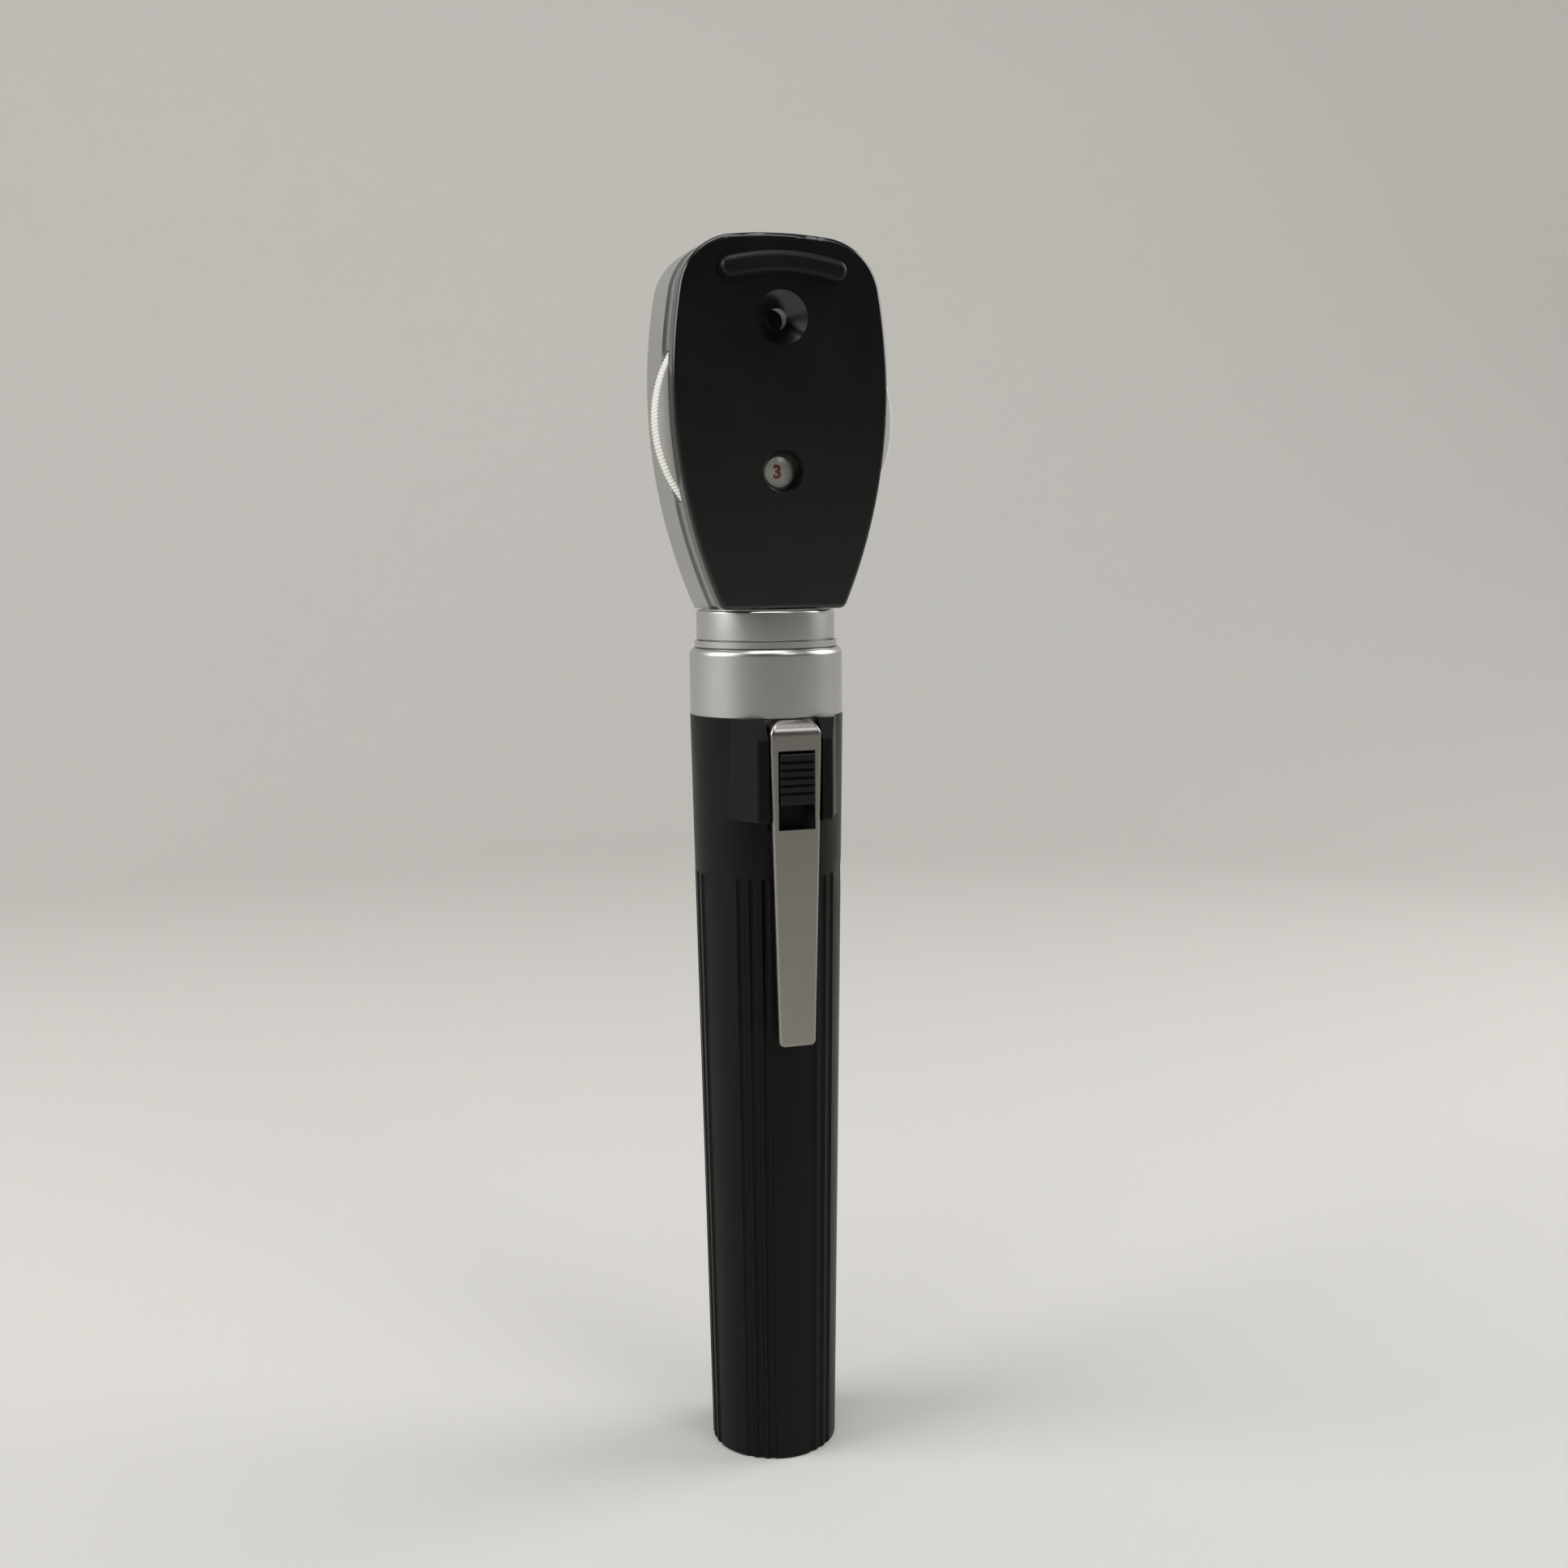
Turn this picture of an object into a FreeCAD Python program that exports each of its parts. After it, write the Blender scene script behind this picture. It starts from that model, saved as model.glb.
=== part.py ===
import FreeCAD, Part
import Sketcher
import math
import os

# Direct ophthalmoscope on a handle that holds two AA cells, in millimetres.
# +Z runs up the handle. The origin is the centre of the flat foot. -Y faces the examiner: the pocket clip,
# the slide switch, the brow rest and the back plate are on that side. +Y faces the patient.
# A "depth" below is a distance from the handle's axis towards the examiner, so it grows along -Y.

SIZES = [
    # handle
    ("handle_length", 104.0, "black handle, foot to sleeve"),
    ("foot_radius", 8.75, "outside of the handle at the foot"),
    ("top_radius", 10.44, "outside of the handle under the sleeve"),
    ("foot_edge", 0.4, "rounding round the foot"),
    ("bore_radius", 7.4, "battery bore"),
    ("floor_thickness", 2.0, "closed end under the batteries"),
    ("seat_depth", 3.0, "how far the sleeve's skirt goes into the handle"),
    ("flute_cutter", 0.67, "radius of one finger flute"),
    ("flute_depth", 0.35, "depth of one finger flute"),
    ("flute_stop", 22.0, "distance from the sleeve down to the flutes"),
    ("flute_spacing", 10.2, "degrees between the flutes of a group"),
    ("flute_groups", 6, "groups of three flutes"),
    # switch boss
    ("boss_height", 13.7, "height of the switch boss"),
    ("boss_depth", 12.2, "front face of the boss"),
    ("boss_half_width", 5.2, "half of the boss's front face"),
    ("boss_root_half", 7.95, "half of the boss where it meets the handle"),
    ("boss_root_depth", 6.2, "depth where the boss meets the handle"),
    ("boss_slope", 2.7, "height of the sloped top of the boss"),
    ("boss_slope_depth", 10.6, "depth of the boss at the sleeve"),
    ("boss_edge", 0.5, "rounding of the boss's edges"),
    ("channel_depth", 9.7, "floor of the channel behind the clip"),
    # clip
    ("clip_thickness", 0.8, "spring strip"),
    ("clip_top_depth", 12.62, "outer face of the clip at its top"),
    ("clip_tip_depth", 12.26, "outer face of the clip at its tip"),
    ("clip_length", 44.0, "distance from the sleeve down to the clip's tip"),
    ("clip_half_width", 3.53, "half of the clip at its top"),
    ("clip_tip_half_width", 2.5, "half of the clip at its tip"),
    ("clip_bend", 2.0, "outer radius of the bend at the top"),
    ("clip_edge", 0.45, "rolled edge of the strip"),
    ("clip_window_half", 2.55, "half of the window for the switch"),
    ("clip_window_end", 14.6, "distance from the sleeve down to the window's lower edge"),
    ("clip_window_start", 4.1, "distance from the sleeve down to the window's upper edge"),
    ("clip_ear", 1.0, "how far the tab's ears stand out at each side"),
    ("clip_ear_length", 0.8, "length of the ears along the tab"),
    ("nub_length", 5.7, "length of the gripping nub"),
    ("nub_half_width", 1.6, "half of the gripping nub"),
    # switch
    ("button_drop", 11.2, "distance from the sleeve down to the button's lower end when on"),
    ("button_height", 6.7, "height of the button"),
    ("button_proud", 0.5, "how far the button stands out of the clip"),
    ("switch_travel", 3.2, "slide of the switch"),
    ("rib_pitch", 1.03, "distance between the button's grooves"),
    ("rib_count", 5, "grooves across the button"),
    ("rib_depth", 0.35, "depth of the grooves"),
    ("slider_plate", 1.2, "plate of the slider that runs in the channel"),
    ("blade_thickness", 0.4, "brass contacts"),
    ("blade_half_width", 1.3, "half of the brass contacts"),
    # sleeve, washer and collar
    ("sleeve_height", 9.0, "visible metal sleeve"),
    ("sleeve_radius", 10.4, "outside of the sleeve"),
    ("sleeve_round", 0.9, "rounding of the sleeve's top edge"),
    ("thread_radius", 8.2, "bore of the sleeve that the head screws into"),
    ("skirt_wall", 0.4, "wall of the sleeve's skirt"),
    ("thread_length", 4.35, "length of the head's spigot"),
    ("washer_height", 0.85, "loose ring between sleeve and collar"),
    ("washer_radius", 9.7, "outside of the loose ring"),
    ("throat_radius", 8.9, "collar's throat inside the loose ring"),
    ("collar_radius", 9.4, "outside of the head's collar"),
    ("collar_height", 3.95, "visible collar"),
    ("collar_bore", 6.0, "bore for the contact carrier"),
    ("stem_radius", 4.9, "threaded stem that goes up into the head"),
    ("stem_bore", 4.2, "bore for the lamp socket"),
    ("collar_edge", 0.3, "rounding of the collar's rim"),
    ("nut_height", 1.5, "nut that clamps the casing"),
    ("nut_wall", 0.75, "wall of that nut"),
    # cells and contacts
    ("cell_radius", 7.25, "AA cell"),
    ("cell_length", 50.5, "AA cell with its nub"),
    ("cell_nub", 1.1, "height of the nub"),
    ("cell_nub_radius", 2.75, "nub of the cell"),
    ("cell_shoulder", 0.7, "how far the cell's rounded ends draw in"),
    ("spring_room", 3.2, "room for the bottom spring"),
    ("spring_radius", 5.1, "bottom spring at its foot"),
    ("spring_wire", 0.35, "wire radius of the bottom spring"),
    ("spring_cone", -20.0, "taper of the bottom spring in degrees"),
    ("spring_turns", 3, "turns of a contact spring"),
    ("fine_wire", 0.15, "wire radius of the lamp's spring and of its filament"),
    ("contact_sheet", 0.3, "sheet of the bottom contact"),
    ("contact_head", 2.2, "head of the centre contact"),
    ("contact_room", 1.6, "room for the spring between centre contact and lamp"),
    ("carrier_height", 3.95, "contact carrier's seat above the spigot's end"),
    # lamp
    ("lamp_radius", 2.9, "lamp base"),
    ("bulb_radius", 2.2, "glass of the lamp"),
    ("bulb_wall", 0.35, "glass wall"),
    ("bulb_length", 4.8, "glass of the lamp, foot to tip"),
    ("thin_wall", 0.85, "flanges, cheeks and steps of the small inner pieces"),
    # head
    ("crown_room", 3.95, "top screw to the head's top"),
    ("widest_rise", 4.1, "head's widest place, above the lens wheel's axle"),
    ("head_half_width", 14.7, "half of the head's width"),
    ("side_radius", 70.5, "curve of the head's sides"),
    ("shoulder_radius", 8.0, "curve of the head's upper corners"),
    ("crown_radius", 60.0, "curve of the head's top"),
    ("plate_seat", 5.84, "back of the back plate"),
    ("plate_thickness", 2.5, "back plate"),
    ("plate_edge", 0.6, "rounding of the plate's face"),
    ("seat_share", 0.7, "blind holes in the back plate, as a share of its thickness"),
    ("corner_round", 1.2, "rounding of the head's lower corners"),
    ("lip_inset", 0.4, "step from the casing to its lip"),
    ("lip_depth", 2.5, "depth where the lip begins"),
    ("casing_front", 8.6, "front of the casing, ahead of the axis"),
    ("casing_round", 4.2, "rounding of the casing's front"),
    ("casing_wall", 1.5, "wall of the casing"),
    ("screw_radius", 0.85, "casing screws"),
    ("screw_head_radius", 1.75, "heads of the casing screws"),
    ("screw_head_height", 1.1, "heads of the casing screws"),
    ("cross_length", 2.1, "length of the cross recess in a screw head"),
    ("cross_width", 0.35, "width of the cross recess"),
    ("post_radius", 2.0, "posts for the casing screws"),
    ("post_rise", 0.8, "posts above the casing's lip"),
    ("low_screw_x", 6.3, "lower screws, sideways"),
    ("low_screw_height", 5.5, "lower screws, above the head's underside"),
    ("low_post_gap", 1.8, "lens wheel to the lower posts"),
    ("top_post_gap", 1.1, "lens wheel to the top post"),
    # back plate openings and brow rest
    ("sight_radius", 1.4, "sight hole"),
    ("sight_rim", 3.5, "rim of the sight hole's cone"),
    ("sight_share", 0.8, "depth of that cone, as a share of the plate's thickness"),
    ("index_radius", 2.0, "number window"),
    ("index_rim", 2.8, "rim of the window's cone"),
    ("index_share", 0.3, "depth of that cone, as a share of the plate's thickness"),
    ("index_sheet", 0.6, "edge of the number window"),
    ("index_dome", 0.55, "rise of the number window's dome"),
    ("rest_radius", 28.0, "curve of the brow rest"),
    ("rest_half_angle", 17.6, "half of the brow rest's arc in degrees"),
    ("rest_rise", 6.85, "brow rest's middle, above the sight hole"),
    ("rest_width", 2.8, "width of the brow rest"),
    ("rest_height", 1.8, "how far the brow rest stands out"),
    ("rest_end", 1.34, "rounding of the brow rest's ends"),
    ("rest_edge", 0.84, "rounding of the brow rest's face"),
    # lens wheel
    ("wheel_radius", 16.4, "lens wheel"),
    ("wheel_thickness", 2.6, "rim of the lens wheel"),
    ("wheel_web", 1.8, "web of the lens wheel"),
    ("wheel_rim", 1.1, "width of the thick rim"),
    ("wheel_edge", 0.2, "bevel of the lens wheel's rim"),
    ("wheel_gap", 0.14, "gap between plate and wheel"),
    ("number_circle", 6.8, "circle of the wheel's numbers"),
    ("lens_count", 12, "positions of the lens wheel"),
    ("lens_radius", 1.5, "lenses of the wheel"),
    ("lens_thickness", 1.26, "lenses of the wheel"),
    ("lens_margin", 1.0, "web between a lens and the thick rim"),
    ("axle_radius", 1.5, "axle of the lens wheel"),
    ("axle_head", 2.55, "head of the lens wheel's axle"),
    ("axle_head_height", 0.4, "height of that head"),
    ("axle_play", 0.03, "running clearance of the wheels"),
    ("track_radius", 9.8, "circle of the click dimples"),
    ("track_half", 0.63, "half of the click track"),
    ("track_depth", 0.3, "depth of the click track"),
    ("dimple_depth", 0.45, "depth of the click dimples"),
    ("ball_radius", 0.7, "click ball"),
    # optics
    ("beam_depth", -0.2, "optic axis, ahead of the handle's axis"),
    ("tube_radius", 3.0, "outside of the optics tube"),
    ("tube_bore", 2.5, "bore of the optics tube"),
    ("tube_drop", 8.7, "top of the optics tube, below the sight hole"),
    ("optic_edge", 0.85, "edge of the condenser and objective lenses"),
    ("condenser_crown", 0.85, "rise of the condenser lens"),
    ("objective_crown", 0.35, "rise of the objective lens"),
    ("mirror_drop", 4.3, "where the beam meets the mirror, below the sight hole"),
    ("mirror_length", 5.3, "slanted length of the mirror"),
    ("mirror_thickness", 0.9, "mirror glass"),
    ("mirror_half_width", 3.0, "half of the mirror"),
    ("window_drop", 2.0, "front window, below the sight hole"),
    ("window_radius", 4.75, "front window"),
    ("window_opening", 4.0, "opening behind the front window"),
    ("window_recess", 1.2, "depth of the front window's seat"),
    ("window_sheet", 0.8, "front window's glass"),
    ("bezel_height", 0.5, "ring that holds the front window"),
    # aperture wheel
    ("aperture_height", 15.3, "underside of the aperture wheel, above the head's underside"),
    ("aperture_radius", 6.0, "aperture wheel"),
    ("aperture_thickness", 1.4, "aperture wheel"),
    ("aperture_circle", 3.9, "circle of the apertures"),
    ("aperture_hole", 1.4, "light holes of the aperture wheel"),
    ("disc_room", 0.3, "recess for the aperture disc"),
    ("rib_half_width", 2.25, "half of the ribs that hold the aperture wheel"),
    ("aperture_count", 5, "apertures"),
    ("aperture_axle", 0.75, "axle of the aperture wheel"),
    # clearances
    ("slip", 0.05, "gap between plain turned pieces that fit in each other"),
    ("gap", 0.1, "gap between faces of pieces that move apart"),
    ("side_gap", 0.2, "gap beside sliding pieces"),
]

MARGIN = 1.0        # how far a cut runs on past the surface that it opens
CLOSE = 1e-3        # two places this near each other count as one
NODES = []          # every finished sub-part, in the order in which it is made

doc = FreeCAD.newDocument("ophthalmoscope")
sheet = doc.addObject("Spreadsheet::Sheet", "Sizes")
for row, (alias, number, meaning) in enumerate(SIZES, start=1):
    sheet.set(f"A{row}", meaning)
    sheet.set(f"B{row}", str(number))
    sheet.setAlias(f"B{row}", alias)
doc.recompute()


class Size:
    """A size that follows the sheet: its value now, and the expression that gives it."""

    def __init__(self, value, text):
        self.value = value
        self.text = text

    def __add__(self, other):
        other = as_size(other)
        return Size(self.value + other.value, f"({self.text} + {other.text})")

    def __sub__(self, other):
        other = as_size(other)
        return Size(self.value - other.value, f"({self.text} - {other.text})")

    def __rsub__(self, other):
        return as_size(other) - self

    def __mul__(self, other):
        other = as_size(other)
        return Size(self.value * other.value, f"({self.text} * {other.text})")

    def __truediv__(self, other):
        other = as_size(other)
        return Size(self.value / other.value, f"({self.text} / {other.text})")

    def __neg__(self):
        return Size(-self.value, f"(0 - {self.text})")

    __radd__ = __add__
    __rmul__ = __mul__


def as_size(number):
    """Plain numbers join in as they are."""
    if isinstance(number, Size):
        return number
    return Size(float(number), repr(float(number)))


class Sheet:
    """size.NAME is the sheet's value of that name."""

    def __getattr__(self, alias):
        return Size(float(sheet.get(alias)), f"Sizes.{alias}")


size = Sheet()


def sine(angle):
    return Size(math.sin(math.radians(angle.value)), f"sin({angle.text})")


def cosine(angle):
    return Size(math.cos(math.radians(angle.value)), f"cos({angle.text})")


def root(square):
    return Size(math.sqrt(square.value), f"sqrt({square.text})")


def bind(thing, name, length):
    """Ties one property of a feature to the sheet."""
    thing.setExpression(name, as_size(length).text)


def place(thing, x=0, y=0, z=0, axis=(0, 0, 1), angle=0):
    """Turns a sub-part about an axis through its own origin and then moves it."""
    rotation = FreeCAD.Rotation(FreeCAD.Vector(*axis), angle)
    base = FreeCAD.Vector(*(as_size(part).value for part in (x, y, z)))
    thing.Placement = FreeCAD.Placement(base, rotation)
    for letter, part in (("x", x), ("y", y), ("z", z)):
        bind(thing, f"Placement.Base.{letter}", part)


# ---------------------------------------------------------------- sketches

def new_body(label):
    body = doc.addObject("PartDesign::Body", label)
    body.Label = label
    NODES.append(body)
    return body


def new_sketch(body, name, plane="XZ_Plane", offset=0):
    """A sketch on one of the body's own planes, moved along the plane's normal."""
    sketch = body.newObject("Sketcher::SketchObject", f"{body.Name}_{name}")
    base = next(item for item in body.Origin.OriginFeatures if item.Role == plane)
    sketch.AttachmentSupport = [(base, "")]
    sketch.MapMode = "FlatFace"
    shift = as_size(offset)
    sketch.AttachmentOffset = FreeCAD.Placement(FreeCAD.Vector(0, 0, shift.value), FreeCAD.Rotation())
    bind(sketch, "AttachmentOffset.Base.z", shift)
    return sketch


def fix_coordinate(sketch, kind, axis, item, point, coordinate):
    """Holds one coordinate of a point at its distance from the sketch's origin."""
    if coordinate.value == 0:
        sketch.addConstraint(Sketcher.Constraint("PointOnObject", item, point, axis))
        return
    ends = (-1, 1, item, point) if coordinate.value > 0 else (item, point, -1, 1)
    index = sketch.addConstraint(Sketcher.Constraint(kind, *ends, abs(coordinate.value)))
    signed = coordinate if coordinate.value > 0 else -coordinate
    bind(sketch, f"Constraints[{index}]", signed)


def fix_point(sketch, item, point, x, y):
    fix_coordinate(sketch, "DistanceX", -2, item, point, as_size(x))
    fix_coordinate(sketch, "DistanceY", -1, item, point, as_size(y))


def vector(x, y):
    return FreeCAD.Vector(as_size(x).value, as_size(y).value, 0)


def add_polygon(sketch, corners):
    """A closed outline of straight edges through the given corners."""
    first = sketch.GeometryCount
    count = len(corners)
    for index, corner in enumerate(corners):
        following = corners[(index + 1) % count]
        sketch.addGeometry(Part.LineSegment(vector(*corner), vector(*following)), False)
    for index, corner in enumerate(corners):
        before = first + (index - 1) % count
        sketch.addConstraint(Sketcher.Constraint("Coincident", before, 2, first + index, 1))
        fix_point(sketch, first + index, 1, *corner)


def add_rectangle(sketch, low, high):
    """A rectangle between two opposite corners."""
    add_polygon(sketch, [low, (high[0], low[1]), high, (low[0], high[1])])


def add_circle(sketch, x, y, radius):
    radius = as_size(radius)
    item = sketch.addGeometry(Part.Circle(vector(x, y), FreeCAD.Vector(0, 0, 1), radius.value), False)
    fix_point(sketch, item, 3, x, y)
    index = sketch.addConstraint(Sketcher.Constraint("Radius", item, radius.value))
    bind(sketch, f"Constraints[{index}]", radius)


# ---------------------------------------------------------------- features

def extrude(body, kind, sketch, length, reverse=False, both_ways=False):
    """A pad or a pocket of a given length."""
    feature = body.newObject(f"PartDesign::{kind}", f"{sketch.Name}_{kind}")
    feature.Profile = sketch
    feature.Reversed = reverse
    feature.SideType = "Symmetric" if both_ways else "One side"
    bind(feature, "Length", length)
    return feature


def pad(body, sketch, length, reverse=False, both_ways=False):
    return extrude(body, "Pad", sketch, length, reverse, both_ways)


def pocket(body, sketch, length, reverse=False, both_ways=False):
    """A pocket that has to take material away."""
    doc.recompute()
    before = body.Shape.Volume
    feature = extrude(body, "Pocket", sketch, length, reverse, both_ways)
    doc.recompute()
    if body.Shape.Volume >= before - CLOSE:
        raise RuntimeError(f"{feature.Name} cuts nothing")
    return feature


def turn(body, kind, sketch, axis="V_Axis"):
    """A full turn of a sketch, added (Revolution) or taken away (Groove)."""
    feature = body.newObject(f"PartDesign::{kind}", f"{sketch.Name}_{kind}")
    feature.Profile = sketch
    feature.ReferenceAxis = (sketch, [axis])
    feature.Angle = 360
    return feature


def turned_body(label, corners):
    """A piece turned about Z from the outline of its half section, given as radius and height."""
    body = new_body(label)
    sketch = new_sketch(body, "section")
    add_polygon(sketch, corners)
    turn(body, "Revolution", sketch)
    return body


def bore_out(body, name, corners):
    """Turns an outline about Z and takes it away."""
    sketch = new_sketch(body, name)
    add_polygon(sketch, corners)
    return turn(body, "Groove", sketch)


def face_examiner(body, height=0):
    """Lays a piece turned about its own Z on an axis that points at the examiner."""
    place(body, z=height, axis=(1, 0, 0), angle=90)


def polar_pattern(body, name, originals, count):
    """Repeats features evenly round the body's own Z."""
    pattern = body.newObject("PartDesign::PolarPattern", f"{body.Name}_{name}")
    pattern.Originals = originals
    axis = next(item for item in body.Origin.OriginFeatures if item.Role == "Z_Axis")
    pattern.Axis = (axis, [""])
    pattern.Angle = 360
    bind(pattern, "Occurrences", count)
    body.Tip = pattern
    return pattern


def edges_where(body, test):
    """Names of the edges whose middle and ends pass a test."""
    doc.recompute()
    names = []
    for index, edge in enumerate(body.Shape.Edges, start=1):
        if test(edge):
            names.append(f"Edge{index}")
    if not names:
        raise RuntimeError(f"{body.Name} has no such edge")
    return names


def blend(body, kind, name, test, amount):
    """A fillet or chamfer along every edge that passes a test."""
    names = edges_where(body, test)
    base = body.Tip
    feature = body.newObject(f"PartDesign::{kind}", f"{body.Name}_{name}")
    feature.Base = (base, names)
    bind(feature, "Radius" if kind == "Fillet" else "Size", amount)
    return feature


def near(first, second):
    return abs(first - second) < CLOSE


def ring_at(radius, height):
    """Edges that are circles about Z with a given radius and height."""
    def test(edge):
        if not isinstance(edge.Curve, Part.Circle):
            return False
        return near(edge.Curve.Radius, radius.value) and near(edge.Curve.Center.z, height.value)
    return test


def all_at(edge, letter, value):
    """True where the whole edge lies at one coordinate."""
    box = edge.BoundBox
    low = getattr(box, f"{letter}Min")
    high = getattr(box, f"{letter}Max")
    return near(low, value) and near(high, value)


# ---------------------------------------------------------------- heights above the foot

FLUTE_TOP = size.handle_length - size.flute_stop
BOSS_BOTTOM = size.handle_length - size.boss_height
CLIP_TIP = size.handle_length - size.clip_length
CLIP_WINDOW_LOW = size.handle_length - size.clip_window_end
CLIP_WINDOW_HIGH = size.handle_length - size.clip_window_start
BUTTON_LOW = size.handle_length - size.button_drop
SLEEVE_TOP = size.handle_length + size.sleeve_height
WASHER_LOW = SLEEVE_TOP + size.gap
COLLAR_LOW = WASHER_LOW + size.washer_height + size.gap
COLLAR_TOP = COLLAR_LOW + size.collar_height
HEAD_BASE = COLLAR_TOP + size.side_gap
LOW_SCREW_Z = HEAD_BASE + size.low_screw_height
APERTURE_Z = HEAD_BASE + size.aperture_height

# The lens wheel clears the lower posts, the top post clears the wheel, and the sight hole looks through
# the wheel's lenses.
LOW_POST_REACH = size.wheel_radius + size.low_post_gap + size.post_radius
WHEEL_Z = LOW_SCREW_Z + root(LOW_POST_REACH * LOW_POST_REACH - size.low_screw_x * size.low_screw_x)
TOP_SCREW_Z = WHEEL_Z + size.wheel_radius + size.top_post_gap + size.post_radius
HEAD_TOP = TOP_SCREW_Z + size.crown_room
HEAD_WIDEST = WHEEL_Z + size.widest_rise
LENS_CIRCLE = size.wheel_radius - size.wheel_rim - size.lens_margin - size.lens_radius
SIGHT_Z = WHEEL_Z + LENS_CIRCLE
INDEX_Z = WHEEL_Z - size.number_circle
REST_CENTRE_Z = SIGHT_Z + size.rest_rise
WINDOW_Z = SIGHT_Z - size.window_drop
MIRROR_Z = SIGHT_Z - size.mirror_drop
TUBE_TOP = SIGHT_Z - size.tube_drop


# ---------------------------------------------------------------- handle

COUNTERBORE = size.thread_radius + size.skirt_wall + size.slip
SEAT_FLOOR = size.handle_length - size.seat_depth
CHANNEL_HALF = size.clip_half_width + size.side_gap
BLADE_DEPTH = size.bore_radius + size.blade_thickness + size.side_gap
BUTTON_TOP = BUTTON_LOW + size.button_height
TAB_TOP = size.handle_length - size.side_gap
TAB_BASE = TAB_TOP - size.clip_thickness
TAB_END = COUNTERBORE + size.gap


def flute_feature(body, name, turned):
    """One finger flute: a round-ended cutter that lies along the handle's sloping side."""
    slope = (size.top_radius - size.foot_radius) / size.handle_length
    stand_off = size.flute_cutter - size.flute_depth
    low = (size.foot_radius + stand_off - slope * MARGIN, as_size(-MARGIN))
    high = (size.foot_radius + stand_off + slope * FLUTE_TOP, FLUTE_TOP)
    sketch = new_sketch(body, name)
    sketch.AttachmentOffset = FreeCAD.Placement(
        FreeCAD.Vector(0, 0, 0), FreeCAD.Rotation(FreeCAD.Vector(0, 1, 0), turned.value))
    if turned.value != 0:
        bind(sketch, "AttachmentOffset.Rotation.Angle", turned)
    start = vector(*low)
    end = vector(*high)
    along = (end - start).normalize()
    across = FreeCAD.Vector(along.y, -along.x, 0)
    reach = size.flute_cutter.value
    axis = sketch.addGeometry(Part.LineSegment(start, end), True)
    base = sketch.addGeometry(Part.LineSegment(start, start + across * reach), False)
    side = sketch.addGeometry(Part.LineSegment(start + across * reach, end + across * reach), False)
    heading = math.atan2(along.y, along.x)
    circle = Part.Circle(end, FreeCAD.Vector(0, 0, 1), reach)
    tip = sketch.addGeometry(Part.ArcOfCircle(circle, heading - math.pi / 2, heading), False)
    back = sketch.addGeometry(Part.LineSegment(end + along * reach, start), False)
    fix_point(sketch, axis, 1, *low)
    fix_point(sketch, axis, 2, *high)
    joined = (
        (base, 1, axis, 1),
        (base, 2, side, 1),
        (back, 1, tip, 2),
        (back, 2, axis, 1),
        (tip, 3, axis, 2))
    for pair in joined:
        sketch.addConstraint(Sketcher.Constraint("Coincident", *pair))
    sketch.addConstraint(Sketcher.Constraint("Perpendicular", base, axis))
    sketch.addConstraint(Sketcher.Constraint("Tangent", side, 2, tip, 1))
    sketch.addConstraint(Sketcher.Constraint("Parallel", side, axis))
    index = sketch.addConstraint(Sketcher.Constraint("Distance", base, reach))
    bind(sketch, f"Constraints[{index}]", size.flute_cutter)
    sketch.addConstraint(Sketcher.Constraint("PointOnObject", tip, 2, axis))
    return turn(body, "Groove", sketch, "Axis0")


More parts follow.
